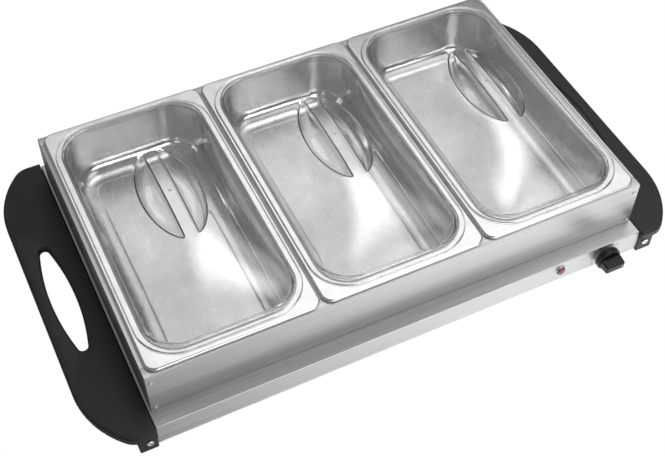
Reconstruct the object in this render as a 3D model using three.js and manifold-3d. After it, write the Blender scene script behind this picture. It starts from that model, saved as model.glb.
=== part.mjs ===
// Electric buffet server: a heated tray with two end handles, a lift-off steel frame,
// three drop-in pans and three clear domed lids.
// Units are millimetres. X runs along the row of pans, -Y is the front with the knob, Z is up.
// The origin is on the resting surface, under the centre of the whole object.

import * as THREE from 'three';
import { mergeVertices } from 'three/addons/utils/BufferGeometryUtils.js';
import Module from 'manifold-3d';

const wasm = await Module();
wasm.setup();

// ---------------------------------------------------------------- driving dimensions

// General
const gap = 0.3;                 // air left between pieces that rest on each other
const cornerSteps = 4;           // facets in a quarter turn of a pan's or lid's outline

// Pans: one-third catering size
const panNames = ['left', 'centre', 'right'];
const panFlangeWidth = 176;
const panFlangeLength = 325;
const panSpacing = 2;            // between neighbouring flanges
const panFlangeBand = 12.5;      // flange edge to mouth
const panFlangeCorner = 11;
const panMouthCorner = 38;
const panDepth = 61;             // flange top to underside
const panWallLean = 4;
const panBottomRadius = 16;
const panEdgeRadius = 1.5;
const panFlangeBend = 2;
const panLipHeight = 4;
const panSheet = 0.9;
const panFloorGap = 1.8;         // air between a pan and the hot plate

// Lids
const lidSideInset = 3.5;        // lid rim to pan flange edge, along X
const lidEndInset = 5.5;         // the same along Y
const lidCorner = 42;
const lidRimBand = 9;            // flat rim outside the dome
const lidSheet = 2;
const lidStepHeight = 6;         // rim to foot of dome
const lidHeight = 39.2;          // underside of rim to crown
const lidDomePower = 2.3;        // how square-shouldered the dome is
const lidLocatorDepth = 3.5;     // ring that drops into the pan
const lidFit = 1.5;              // locating ring to pan mouth
const gripHalfWidth = 30.5;      // bowl pressed into the crown
const gripHalfLength = 61;
const gripDepth = 19;
const gripBarWidth = 14;         // bar that bridges the bowl
const gateRadius = 1.6;
const gateHeight = 0.8;

// Frame
const frameSheet = 1.2;
const frameSideMargin = 3;       // pan pitch box to frame side
const frameEndMargin = 2;        // pan flange to frame front and rear
const frameFlangeWidth = 11.5;
const frameTabWidth = 15;        // side wall tab behind the front wall
const crossBarWidth = 18;
const crossBarDepth = 14;
const crossBarTongue = 7;
const rivetInset = 5;            // from the frame's corner
const rivetShankRadius = 1.2;
const rivetHeadRadius = 2.1;
const rivetHeadHeight = 0.9;
const rivetEndMargin = 11;       // upper and lower rivets from the wall's top
const rivetLowerHeight = 6;      // lower rivet above the tray

// Tray
const traySheet = 1;
const trayLedge = 17.2;          // tray edge in front of the frame
const traySideLedge = 2;
const trayPanelHeight = 28.8;
const trayFloorClearance = 4.4;
const trayReturn = 10;           // inward flange at the foot of the skirt
const coverSheet = 1;
const coverScrewInset = 72;      // from the tray's ends

// Handles
const handleReach = 58.7;        // inner edge to outer edge
const handleThickness = 8;
const handleWall = 3;
const handleOverhang = 5.3;      // past the tray's front and rear
const handleBigArc = 100;
const handleSmallArc = 20.5;
const handHoleHalfWidth = 12.5;
const handHoleHalfLength = 70;
const handHoleTip = 5;
const handHoleCentre = 32.3;     // from the handle's inner edge
const blockWidth = 19;
const blockDepth = 24;
const blockProud = 2.3;          // in front of the tray's panel
const blockClearance = 2;        // above the resting surface
const footRadius = 6;
const footHeight = 5;
const footInset = 12;            // from the block's front face
const tabClearance = 2;          // tab's end to the block's outer face
const tabHeight = 14;
const screwHeight = 16;
const screwInset = 8.2;          // from the block's inner face
const screwShankRadius = 1.6;
const screwHeadRadius = 3.6;
const screwHeadHeight = 1.9;
const screwLength = 14;
const coverScrewLength = 4.5;

// Heating
const spreaderThickness = 2;
const spreaderSideInset = 42;    // from the tray's edge
const elementRadius = 3.2;
const elementBend = 35;
const elementEndInset = 15;      // from the spreader's end
const elementLead = 40;
const elementPinRadius = 1.4;
const elementPinLength = 8;
const matClearance = 3.2;        // below the element
const cableSpace = 2.6;          // above the bottom cover

// Controls
const knobInset = 42;            // from the tray's right end
const knobDrop = 14.2;           // below the tray's top
const knobRadius = 14;
const knobSkirt = 6;
const knobBarLength = 24;
const knobBarWidth = 11;
const knobBarHeight = 12.1;
const knobBarCorner = 3;
const knobStandOff = 3.9;        // panel to back of knob
const shaftRadius = 3;
const shaftGrip = 10;            // shaft inside the knob
const bushRadius = 5;
const nutWall = 2.4;
const nutThickness = 2.6;
const thermostatWidth = 34;
const thermostatDepth = 30;
const thermostatHeadroom = 2.2;  // under the tray's top
const lampSpacing = 55.5;        // left of the knob
const lampDrop = 11.7;
const lampRadius = 4.4;
const lampProud = 3.8;
const lampBezelWidth = 1.4;
const lampBezelThickness = 1.2;
const lampBodyRadius = 5.5;
const lampBodyLength = 22;

// Mains connection
const inletInset = 24;           // from the tray's right end
const inletRise = 11.6;          // above the bottom cover
const inletBore = 3.8;
const inletNeck = 6;
const inletFlange = 9;
const inletProud = 8;
const inletInner = 12;
const inletFlangeThickness = 2.5;
const blockSize = [20, 40, 12];  // terminal block
const blockGrooveOffset = 8;     // from the block's middle
const blockGrooveWidth = 3;
const terminalBlockInset = 52;   // its middle, from the tray's rear edge
const wireRadius = 1.2;
const wireSteps = 18;

// ---------------------------------------------------------------- sizes that follow

const panPitch = panFlangeWidth + panSpacing;
const mouthHalfWidth = panFlangeWidth / 2 - panFlangeBand;
const mouthHalfLength = panFlangeLength / 2 - panFlangeBand;
const frameHeight = panDepth + panFloorGap - panLipHeight;
const frameHalfLength = (panNames.length * panPitch) / 2 + frameSideMargin;
const frameHalfWidth = panFlangeLength / 2 + frameEndMargin;
const trayHalfLength = frameHalfLength + traySideLedge;
const trayHalfWidth = frameHalfWidth + trayLedge;
const trayTop = trayFloorClearance + trayPanelHeight;
const frameTop = trayTop + frameHeight;
const panTop = frameTop + panLipHeight;
const lidBase = panTop + gap;
const coverTop = trayFloorClearance + coverSheet;
const skirtBottom = coverTop + gap;
const handleInner = trayHalfLength + gap;
const handleOuter = handleInner + handleReach;
const handleEnd = trayHalfWidth + handleOverhang;
const blockFace = trayHalfWidth + blockProud;
const domeHalfWidth = panFlangeWidth / 2 - lidSideInset - lidRimBand;
const domeHalfLength = panFlangeLength / 2 - lidEndInset - lidRimBand;
const domeCorner = lidCorner - lidRimBand;
const knobX = trayHalfLength - knobInset;
const knobZ = trayTop - knobDrop;
const lampX = knobX - lampSpacing;
const lampZ = trayTop - lampDrop;
const inletX = trayHalfLength - inletInset;
const inletZ = coverTop + inletRise;
const nutRadius = bushRadius + nutWall;
const tabReach = handleInner + blockWidth - tabClearance;
const ends = [['left', -1], ['right', 1]];
const faces = [['front', -1], ['rear', 1]];

// ---------------------------------------------------------------- finishes

const steel = { color: 0xb9babb, roughness: 0.32, metalness: 1 };
const brightSteel = { color: 0xd2d3d2, roughness: 0.18, metalness: 1 };
const aluminium = { color: 0xa9acad, roughness: 0.45, metalness: 1 };
const zinc = { color: 0x9fa2a3, roughness: 0.35, metalness: 1 };
const handlePlastic = { color: 0x29282d, roughness: 0.55, metalness: 0 };
const knobPlastic = { color: 0x131316, roughness: 0.35, metalness: 0 };
const rubber = { color: 0x1b1b1c, roughness: 0.85, metalness: 0 };
const clearPlastic = { color: 0xeef0ef, roughness: 0.06, metalness: 0, transparent: true, opacity: 0.3 };
const redLens = { color: 0x7d0f1c, roughness: 0.2, metalness: 0 };
const ceramic = { color: 0xd8d2c4, roughness: 0.6, metalness: 0 };
const mineralWool = { color: 0xc9b98b, roughness: 0.95, metalness: 0 };
const elementSheath = { color: 0x4b4a48, roughness: 0.55, metalness: 0.8 };
const wireSleeve = { color: 0x8c2b22, roughness: 0.6, metalness: 0 };

// ---------------------------------------------------------------- shape helpers

// Joins shared corners and drops the triangles that this flattens to nothing.
function weld(geometry) {
  const bare = geometry.clone();
  bare.deleteAttribute('normal');
  bare.deleteAttribute('uv');
  const merged = mergeVertices(bare, 1e-4);
  const index = Array.from(merged.index.array);
  const kept = [];
  for (let i = 0; i < index.length; i += 3) {
    const [a, b, c] = index.slice(i, i + 3);
    if (a !== b && b !== c && c !== a) kept.push(a, b, c);
  }
  merged.setIndex(kept);
  return merged;
}

function signedVolume(geometry) {
  const at = geometry.attributes.position;
  const index = geometry.index.array;
  const [a, b, c] = [new THREE.Vector3(), new THREE.Vector3(), new THREE.Vector3()];
  let volume = 0;
  for (let i = 0; i < index.length; i += 3) {
    a.fromBufferAttribute(at, index[i]);
    b.fromBufferAttribute(at, index[i + 1]);
    c.fromBufferAttribute(at, index[i + 2]);
    volume += a.dot(b.cross(c)) / 6;
  }
  return volume;
}

// A welded copy whose faces point out.
function closed(geometry) {
  const welded = weld(geometry);
  if (signedVolume(welded) < 0) welded.setIndex(Array.from(welded.index.array).reverse());
  return welded;
}

function toSolid(geometry) {
  const welded = closed(geometry);
  const vertProperties = Float32Array.from(welded.attributes.position.array);
  const triVerts = Uint32Array.from(welded.index.array);
  return new wasm.Manifold(new wasm.Mesh({ numProp: 3, vertProperties, triVerts }));
}

function fromSolid(solid) {
  const mesh = solid.getMesh();
  const geometry = new THREE.BufferGeometry();
  geometry.setAttribute('position', new THREE.BufferAttribute(mesh.vertProperties, 3));
  geometry.setIndex(new THREE.BufferAttribute(mesh.triVerts, 1));
  return geometry;
}

function join(...pieces) {
  return fromSolid(pieces.map(toSolid).reduce((whole, piece) => whole.add(piece)));
}

function cut(body, ...tools) {
  return fromSolid(tools.map(toSolid).reduce((whole, tool) => whole.subtract(tool), toSolid(body)));
}

function common(first, second) {
  return fromSolid(toSolid(first).intersect(toSolid(second)));
}

function box([x0, y0, z0], [x1, y1, z1]) {
  const geometry = new THREE.BoxGeometry(x1 - x0, y1 - y0, z1 - z0);
  geometry.translate((x0 + x1) / 2, (y0 + y1) / 2, (z0 + z1) / 2);
  return geometry;
}

// A straight round bar along Y or Z, between two coordinates on that axis.
function rodY(radius, y0, y1, x, z, sides = 20) {
  const geometry = new THREE.CylinderGeometry(radius, radius, y1 - y0, sides);
  geometry.translate(x, (y0 + y1) / 2, z);
  return geometry;
}

function rodZ(radius, z0, z1, x, y, sides = 20) {
  const geometry = new THREE.CylinderGeometry(radius, radius, z1 - z0, sides);
  geometry.rotateX(Math.PI / 2);
  geometry.translate(x, y, (z0 + z1) / 2);
  return geometry;
}

// A turned piece on a Y axis: profile points are [radius, y].
function turnedY(profile, x, z, sides = 20) {
  const points = profile.map(([radius, y]) => new THREE.Vector2(radius, y));
  const geometry = new THREE.LatheGeometry(points, sides);
  geometry.translate(x, 0, z);
  return geometry;
}

function prism(shape, z0, z1, curveSegments = 5) {
  const geometry = new THREE.ExtrudeGeometry(shape, { depth: z1 - z0, bevelEnabled: false, curveSegments });
  geometry.translate(0, 0, z0);
  return geometry;
}

// A profile of [y, z] points pushed along X.
function extrudeX(points, x0, x1) {
  const shape = new THREE.Shape(points.map(([y, z]) => new THREE.Vector2(y, z)));
  const geometry = new THREE.ExtrudeGeometry(shape, { depth: x1 - x0, bevelEnabled: false });
  geometry.rotateX(Math.PI / 2);
  geometry.rotateZ(Math.PI / 2);
  geometry.translate(x0, 0, 0);
  return geometry;
}

// A round tube of even section along a smooth line.
function tube(points, radius, steps, sides = 8) {
  const stops = points.map((point) => new THREE.Vector3(...point));
  const path = new THREE.CatmullRomCurve3(stops, false, 'centripetal');
  const section = new THREE.Shape();
  section.absarc(0, 0, radius, 0, 2 * Math.PI);
  return new THREE.ExtrudeGeometry(section, { steps, extrudePath: path, curveSegments: sides / 2 });
}

// One level of a pan or lid: a rounded rectangle about the Z axis.
function ring(halfWidth, halfLength, corner, z) {
  const points = [];
  const quarters = [[1, 1], [-1, 1], [-1, -1], [1, -1]];
  quarters.forEach(([sideX, sideY], quarter) => {
    for (let step = 0; step <= cornerSteps; step += 1) {
      const angle = ((quarter + step / cornerSteps) * Math.PI) / 2;
      const x = sideX * (halfWidth - corner) + corner * Math.cos(angle);
      const y = sideY * (halfLength - corner) + corner * Math.sin(angle);
      points.push([x, y, z]);
    }
  });
  return points;
}

// A closed skin through a stack of rings, with a flat fan over the first and the last.
function loft(rings) {
  const count = rings[0].length;
  const positions = rings.flat(2);
  const index = [];
  for (let level = 0; level < rings.length - 1; level += 1) {
    for (let i = 0; i < count; i += 1) {
      const a = level * count + i;
      const b = level * count + ((i + 1) % count);
      index.push(a, b, b + count, a, b + count, a + count);
    }
  }
  [0, rings.length - 1].forEach((level) => {
    const centre = positions.length / 3;
    positions.push(0, 0, rings[level][0][2]);
    for (let i = 0; i < count; i += 1) {
      const a = level * count + i;
      const b = level * count + ((i + 1) % count);
      if (level === 0) index.push(centre, b, a);
      else index.push(centre, a, b);
    }
  });
  const geometry = new THREE.BufferGeometry();
  geometry.setAttribute('position', new THREE.Float32BufferAttribute(positions, 3));
  geometry.setIndex(index);
  return geometry;
}

// ---------------------------------------------------------------- assembly

const assembly = new THREE.Group();

function add(name, geometry, finish) {
  const mesh = new THREE.Mesh(closed(geometry), new THREE.MeshStandardMaterial(finish));
  mesh.name = name;
  assembly.add(mesh);
  return mesh;
}

// ---------------------------------------------------------------- pans

// One face of the pan's sheet, from the middle of the floor out to the foot of the lip.
// back is 0 on the inside face and the sheet's thickness on the outside face.
function panFace(back) {
  const floor = panTop - panDepth + panSheet;
  const arcX = -panWallLean - panBottomRadius;
  const arcSteps = 3;
  const points = [];
  for (let step = 0; step <= arcSteps; step += 1) {
    const angle = ((step / arcSteps) * Math.PI) / 2;
    const radius = panBottomRadius + back;
    const z = floor + panBottomRadius - radius * Math.cos(angle);
    points.push([arcX + radius * Math.sin(angle), z]);
  }
  points.push([back, panTop - panEdgeRadius]);
  points.push([panEdgeRadius, panTop - back]);
  points.push([panFlangeBand - panFlangeBend, panTop - back]);
  points.push([panFlangeBand - back, panTop - panFlangeBend]);
  points.push([panFlangeBand - back, frameTop + gap]);
  return points;
}

// A ring of the pan, stepped out from the mouth by outset.
function panRing([outset, z]) {
  const onFlange = outset > panEdgeRadius;
  const corner = onFlange ? panFlangeCorner + outset - panFlangeBand : panMouthCorner + outset;
  return ring(mouthHalfWidth + outset, mouthHalfLength + outset, corner, z);
}

const panRings = [...panFace(0), ...panFace(panSheet).reverse()].map(panRing);

// ---------------------------------------------------------------- lids

// Outside and inside of the dome share one height rule; scale is 1 at the foot, 0 at the crown.
function domeRings(halfWidth, halfLength, corner, drop, scales) {
  return scales.map((scale) => {
    const rise = (lidHeight - lidStepHeight) * (1 - scale ** lidDomePower);
    const rounding = corner + (halfWidth - corner) * (1 - scale);
    const z = lidBase + lidStepHeight + rise - drop;
    return ring(halfWidth * scale, halfLength * scale, rounding * scale, z);
  });
}

function lidGeometry() {
  const scales = [1, 0.92, 0.82, 0.7, 0.56, 0.4, 0.22, 0.06];
  const rimHalfWidth = domeHalfWidth + lidRimBand;
  const rimHalfLength = domeHalfLength + lidRimBand;
  const locatorHalfWidth = mouthHalfWidth - lidFit;
  const locatorHalfLength = mouthHalfLength - lidFit;
  const locatorCorner = panMouthCorner - lidFit;
  const locatorFoot = lidBase - lidLocatorDepth;
  const outside = loft([
    ring(locatorHalfWidth, locatorHalfLength, locatorCorner, locatorFoot),
    ring(locatorHalfWidth, locatorHalfLength, locatorCorner, lidBase),
    ring(rimHalfWidth, rimHalfLength, lidCorner, lidBase),
    ring(rimHalfWidth, rimHalfLength, lidCorner, lidBase + lidSheet),
    ring(domeHalfWidth + 1, domeHalfLength + 1, domeCorner + 1, lidBase + lidSheet),
    ...domeRings(domeHalfWidth, domeHalfLength, domeCorner, 0, scales),
  ]);
  const innerHalfWidth = locatorHalfWidth - lidSheet;
  const innerHalfLength = locatorHalfLength - lidSheet;
  const innerCorner = locatorCorner - lidSheet;
  const inside = loft([
    ring(innerHalfWidth, innerHalfLength, innerCorner, locatorFoot - 1),
    ...domeRings(innerHalfWidth, innerHalfLength, innerCorner, lidSheet, scales),
  ]);
  const gripScale = gripHalfWidth / domeHalfWidth;
  const gripRise = (lidHeight - lidStepHeight) * (1 - gripScale ** lidDomePower);
  const gripZ = lidBase + lidStepHeight + gripRise;
  const bowl = (grow) => {
    const geometry = new THREE.SphereGeometry(1, 20, 12);
    geometry.scale(gripHalfWidth + grow, gripHalfLength + grow, gripDepth + grow);
    geometry.translate(0, 0, gripZ);
    return geometry;
  };
  const slab = (halfWidth, halfLength) => box(
    [-halfWidth, -halfLength, locatorFoot - 1],
    [halfWidth, halfLength, lidBase + lidHeight + gripDepth],
  );
  const crown = lidBase + lidHeight;
  const barHollow = common(inside, slab(gripBarWidth / 2 - lidSheet, gripHalfLength - lidSheet));
  const pockets = cut(bowl(0), slab(gripBarWidth / 2, gripHalfLength * 2));
  const shell = cut(outside, cut(inside, bowl(lidSheet)), barHollow, pockets);
  return join(shell, rodZ(gateRadius, crown - lidSheet / 2, crown + gateHeight, 0, 0, 10));
}

const lid = lidGeometry();
const pan = loft(panRings);
panNames.forEach((name, index) => {
  const x = (index - (panNames.length - 1) / 2) * panPitch;
  add(`pan_${name}`, pan, brightSteel).position.x = x;
  add(`lid_${name}`, lid, clearPlastic).position.x = x;
});

// ---------------------------------------------------------------- frame

const wallFoot = trayTop + gap;
const underFlange = frameTop - frameSheet - gap;
const flangeEdge = frameHalfWidth - frameFlangeWidth;
const rivetHeights = [frameTop - rivetEndMargin, trayTop + rivetLowerHeight];
const rivetX = frameHalfLength - rivetInset;
const tabFace = frameHalfWidth - frameSheet - gap;

function rivetHoles(end) {
  const sides = end === 0 ? [-1, 1] : [end];
  const holeRadius = rivetShankRadius + gap;
  return sides.flatMap((side) => faces.flatMap(([, face]) => rivetHeights.map((z) => {
    const middle = face * (frameHalfWidth - frameSheet);
    return rodY(holeRadius, middle - 3, middle + 3, side * rivetX, z, 12);
  })));
}

// Front and rear: one sheet each, folded in along the top.
faces.forEach(([name, face]) => {
  const outer = face * frameHalfWidth;
  const inner = face * (frameHalfWidth - frameSheet);
  const edge = face * flangeEdge;
  const profile = [
    [outer, wallFoot], [outer, frameTop], [edge, frameTop], [edge, frameTop - frameSheet],
    [inner, frameTop - frameSheet], [inner, wallFoot],
  ];
  const wall = extrudeX(profile, -frameHalfLength, frameHalfLength);
  add(`frame_${name}`, cut(wall, ...rivetHoles(0)), steel);
});

// Left and right: a sheet with a top flange, and a tab at each end for the rivets.
ends.forEach(([name, side]) => {
  const outer = frameHalfLength;
  const inner = outer - frameSheet;
  const run = flangeEdge - gap;
  const pieces = [
    box([inner, -tabFace, wallFoot], [outer, tabFace, underFlange]),
    box([inner, -run, underFlange - 1], [outer, run, frameTop]),
    box([outer - frameFlangeWidth, -run, frameTop - frameSheet], [outer, run, frameTop]),
    ...faces.map(([, face]) => {
      const near = face * tabFace;
      const far = face * (tabFace - frameSheet);
      const [y0, y1] = [Math.min(near, far), Math.max(near, far)];
      return box([outer - frameTabWidth, y0, wallFoot + 1], [outer, y1, underFlange]);
    }),
  ];
  const right = cut(join(...pieces), ...rivetHoles(1));
  const wall = side > 0 ? right : right.clone().scale(-1, 1, 1);
  add(`frame_${name}`, wall, steel);
});

// Two bars carry the inner edges of the pans. Their tongues are spot-welded under the flanges.
ends.forEach(([name, side]) => {
  const half = crossBarWidth / 2;
  const run = flangeEdge - gap;
  const channel = cut(
    box([-half, -run, frameTop - crossBarDepth], [half, run, frameTop]),
    box([frameSheet - half, -run - 1, 0], [half - frameSheet, run + 1, frameTop - frameSheet]),
  );
  const reach = run + crossBarTongue;
  const tongueTop = underFlange;
  const tongueHalf = half - frameSheet;
  const tongue = box(
    [-tongueHalf, -reach, tongueTop - frameSheet],
    [tongueHalf, reach, tongueTop],
  );
  const bridge = box(
    [-tongueHalf, -run, tongueTop - frameSheet],
    [tongueHalf, run, frameTop - frameSheet / 2],
  );
  const middle = box(
    [-half, -run + crossBarTongue, 0],
    [half, run - crossBarTongue, frameTop - frameSheet],
  );
  const bar = join(channel, tongue, bridge);
  const hollowed = cut(bar, common(middle, box([-tongueHalf, -run, 0], [tongueHalf, run, frameTop])));
  hollowed.translate((side * panPitch) / 2, 0, 0);
  add(`cross_bar_${name}`, hollowed, steel);
});

// Rivets: a low dome outside and a flat tail behind the tab.
faces.forEach(([faceName, face]) => ends.forEach(([endName, side]) => {
  ['upper', 'lower'].forEach((level, index) => {
    const outerFace = frameHalfWidth + gap / 2;
    const tailFace = tabFace - frameSheet - gap / 2;
    const profile = [
      [0, outerFace + rivetHeadHeight], [rivetHeadRadius * 0.6, outerFace + rivetHeadHeight * 0.8],
      [rivetHeadRadius, outerFace], [rivetShankRadius, outerFace], [rivetShankRadius, tailFace],
      [rivetHeadRadius, tailFace], [rivetHeadRadius, tailFace - 1], [0, tailFace - 1],
    ].map(([radius, y]) => [radius, face * y]);
    const rivet = turnedY(profile, side * rivetX, rivetHeights[index], 12);
    add(`rivet_${faceName}_${endName}_${level}`, rivet, zinc);
  });
}));

// ---------------------------------------------------------------- tray shell and bottom cover

const frontInside = -trayHalfWidth + traySheet;
const lampHole = lampRadius + gap;
const bushHole = bushRadius + gap;

function coverScrewPlaces() {
  const y = trayHalfWidth - trayReturn / 2 - traySheet;
  const x = trayHalfLength - coverScrewInset;
  return [-x, 0, x].flatMap((column) => faces.map(([, face]) => [column, face * y]));
}

function trayShell() {
  const outer = box(
    [-trayHalfLength, -trayHalfWidth, skirtBottom],
    [trayHalfLength, trayHalfWidth, trayTop],
  );
  const inner = box(
    [traySheet - trayHalfLength, traySheet - trayHalfWidth, skirtBottom + traySheet],
    [trayHalfLength - traySheet, trayHalfWidth - traySheet, trayTop - traySheet],
  );
  const mouth = box(
    [traySheet - trayHalfLength, trayReturn - trayHalfWidth, 0],
    [trayHalfLength - traySheet, trayHalfWidth - trayReturn, skirtBottom + traySheet + 1],
  );
  const tabs = faces.map(([, face]) => {
    const [y0, y1] = face < 0 ? [-trayHalfWidth, frontInside] : [-frontInside, trayHalfWidth];
    return box([-tabReach, y0, screwHeight - tabHeight / 2], [tabReach, y1, screwHeight + tabHeight / 2]);
  });
  const screwX = handleInner + screwInset;
  const holes = [
    rodY(lampHole, -trayHalfWidth - 1, frontInside + 1, lampX, lampZ),
    rodY(bushHole, -trayHalfWidth - 1, frontInside + 1, knobX, knobZ),
    rodY(inletNeck + gap, -frontInside - 1, trayHalfWidth + 1, inletX, inletZ),
    ...ends.map(([, side]) => {
      const radius = screwShankRadius + gap;
      return rodY(radius, -trayHalfWidth - 1, trayHalfWidth + 1, side * screwX, screwHeight, 12);
    }),
    ...coverScrewPlaces().map(([x, y]) => {
      const radius = screwShankRadius + gap;
      return rodZ(radius, 0, skirtBottom + traySheet + 1, x, y, 12);
    }),
  ];
  return cut(join(cut(outer, inner, mouth), ...tabs), ...holes);
}

add('tray_shell', trayShell(), steel);

const cover = box(
  [gap - trayHalfLength, gap - trayHalfWidth, trayFloorClearance],
  [trayHalfLength - gap, trayHalfWidth - gap, coverTop],
);
const coverHoles = coverScrewPlaces().map(([x, y]) => {
  const radius = screwShankRadius + gap;
  return rodZ(radius, 0, coverTop + 1, x, y, 12);
});
add('bottom_cover', cut(cover, ...coverHoles), zinc);

// Pan-head screws, drawn with the head's top at 0 and the shank along +Z.
function screw(length) {
  const shank = rodZ(screwShankRadius, screwHeadHeight / 2, screwHeadHeight + length, 0, 0, 12);
  const head = new THREE.CylinderGeometry(screwHeadRadius, screwHeadRadius * 0.8, screwHeadHeight, 16);
  head.rotateX(Math.PI / 2);
  head.translate(0, 0, screwHeadHeight / 2);
  const slotHalf = screwHeadRadius * 0.62;
  const slotWidth = 0.5;
  const slots = [
    box([-slotHalf, -slotWidth, -1], [slotHalf, slotWidth, screwHeadHeight * 0.6]),
    box([-slotWidth, -slotHalf, -1], [slotWidth, slotHalf, screwHeadHeight * 0.6]),
  ];
  return cut(join(head, shank), ...slots);
}

coverScrewPlaces().forEach(([x, y], index) => {
  const piece = screw(coverScrewLength);
  piece.translate(x, y, trayFloorClearance - screwHeadHeight - gap);
  add(`cover_screw_${index + 1}`, piece, zinc);
});

// ---------------------------------------------------------------- handles

// Plan of the right handle, drawn back from its real edge by inset.
function handlePlan(inset) {
  const inner = handleInner + inset;
  const outer = handleOuter - inset;
  const end = handleEnd - inset;
  const big = handleBigArc - inset;
  const small = handleSmallArc - inset;
  const turn = Math.PI / 4;
  const bigX = outer - big;
  const bigY = end - small - (big - small) * Math.sin(turn);
  const smallX = bigX + (big - small) * Math.cos(turn);
  const smallY = end - small;
  const plan = new THREE.Shape();
  plan.moveTo(inner, -end);
  plan.lineTo(smallX, -end);
  plan.absarc(smallX, -smallY, small, -Math.PI / 2, -turn);
  plan.absarc(bigX, -bigY, big, -turn, 0);
  plan.absarc(bigX, bigY, big, 0, turn);
  plan.absarc(smallX, smallY, small, turn, Math.PI / 2);
  plan.lineTo(inner, end);
  return plan;
}

// Hand hole: two long arcs that meet in rounded tips.
function handHolePlan(grow) {
  const halfWidth = handHoleHalfWidth + grow;
  const tip = handHoleTip + grow;
  const tipY = handHoleHalfLength - handHoleTip;
  const arc = (tipY ** 2 + halfWidth ** 2 - tip ** 2) / (2 * (halfWidth - tip));
  const centre = handleInner + handHoleCentre;
  const turn = Math.atan2(tipY, arc - halfWidth);
  const plan = new THREE.Shape();
  plan.absarc(centre - arc + halfWidth, 0, arc, -turn, turn);
  plan.absarc(centre, tipY, tip, turn, Math.PI - turn);
  plan.absarc(centre + arc - halfWidth, 0, arc, Math.PI - turn, Math.PI + turn);
  plan.absarc(centre, -tipY, tip, Math.PI + turn, 2 * Math.PI - turn);
  return plan;
}

const handleUnderside = trayTop - handleThickness;
const footX = handleInner + blockWidth / 2;
const footY = blockFace - footInset;

function rightHandle() {
  const plate = prism(handlePlan(0), handleUnderside, trayTop);
  const holeRim = prism(handHolePlan(handleWall), 0, trayTop + 1);
  const pocket = prism(handlePlan(handleWall), 0, trayTop - handleWall);
  const hollow = cut(pocket, holeRim);
  const hole = prism(handHolePlan(0), 0, trayTop + 1);
  const blocks = faces.map(([, face]) => {
    const [y0, y1] = face < 0 ? [-blockFace, blockDepth - blockFace] : [blockFace - blockDepth, blockFace];
    return box([handleInner, y0, blockClearance], [handleInner + blockWidth, y1, trayTop - 1]);
  });
  const slots = faces.map(([, face]) => {
    const [y0, y1] = face < 0
      ? [-trayHalfWidth - gap, frontInside + gap]
      : [-frontInside - gap, trayHalfWidth + gap];
    const halfHeight = tabHeight / 2 + gap;
    const reach = tabReach + gap;
    return box([handleInner - 1, y0, screwHeight - halfHeight], [reach, y1, screwHeight + halfHeight]);
  });
  const screwHoles = faces.map(([, face]) => {
    const [y0, y1] = face < 0
      ? [-blockFace - 1, screwLength + 1 - blockFace]
      : [blockFace - screwLength - 1, blockFace + 1];
    return rodY(screwShankRadius + gap, y0, y1, handleInner + screwInset, screwHeight, 12);
  });
  const footSockets = faces.map(([, face]) => {
    const top = footHeight + gap;
    return rodZ(footRadius + gap, 0, top, footX, face * footY, 16);
  });
  return cut(join(cut(plate, hollow, hole), ...blocks), ...slots, ...screwHoles, ...footSockets);
}

const handle = rightHandle();
add('handle_right', handle, handlePlastic);
add('handle_left', handle.clone().scale(-1, 1, 1), handlePlastic);

faces.forEach(([faceName, face]) => ends.forEach(([endName, side]) => {
  const foot = rodZ(footRadius, 0, footHeight, side * footX, face * footY, 16);
  add(`foot_${faceName}_${endName}`, foot, rubber);
  const piece = screw(screwLength);
  piece.rotateX(face < 0 ? -Math.PI / 2 : Math.PI / 2);
  const headTop = face * (blockFace + screwHeadHeight + gap);
  piece.translate(side * (handleInner + screwInset), headTop, screwHeight);
  add(`handle_screw_${faceName}_${endName}`, piece, brightSteel);
}));

// ---------------------------------------------------------------- heating parts

const spreaderTop = trayTop - traySheet - gap;
const spreaderBottom = spreaderTop - spreaderThickness;
const spreaderHalfLength = trayHalfLength - spreaderSideInset;
const spreaderHalfWidth = trayHalfWidth - spreaderSideInset;
add('heat_spreader', box(
  [-spreaderHalfLength, -spreaderHalfWidth, spreaderBottom],
  [spreaderHalfLength, spreaderHalfWidth, spreaderTop],
), aluminium);

const elementZ = spreaderBottom - gap - elementRadius;
const elementEnd = spreaderHalfLength - elementEndInset;
const elementHalfRun = elementEnd - elementLead;

// A sheathed rod in four runs, joined by half-circle bends, with a pin at each end.
function heatingElement() {
  const runs = [-3, -1, 1, 3].map((row) => row * elementBend);
  const points = [elementEnd, elementHalfRun, 0].map((x) => [x, runs[0], elementZ]);
  [-1, 1, -1].forEach((side, index) => {
    const centreY = (runs[index] + runs[index + 1]) / 2;
    for (let step = 0; step <= 6; step += 1) {
      const angle = (step / 6) * Math.PI - Math.PI / 2;
      const x = side * (elementHalfRun + elementBend * Math.cos(angle));
      points.push([x, centreY + elementBend * Math.sin(angle), elementZ]);
    }
    points.push([0, runs[index + 1], elementZ]);
  });
  points.push([elementHalfRun, runs[3], elementZ], [elementEnd, runs[3], elementZ]);
  const rod = tube(points, elementRadius, 72);
  const pins = [runs[0], runs[3]].map((y) => {
    const pin = new THREE.CylinderGeometry(elementPinRadius, elementPinRadius, elementPinLength + 2, 10);
    pin.rotateZ(Math.PI / 2);
    pin.translate(elementEnd + elementPinLength / 2 - 1, y, elementZ);
    return pin;
  });
  return join(rod, ...pins);
}

add('heating_element', heatingElement(), elementSheath);

const matBottom = coverTop + cableSpace;
const matTop = elementZ - elementRadius - matClearance;
add('insulation_mat', box(
  [-spreaderHalfLength, -spreaderHalfWidth, matBottom],
  [spreaderHalfLength, spreaderHalfWidth, matTop],
), mineralWool);

// ---------------------------------------------------------------- thermostat and knob

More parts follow.
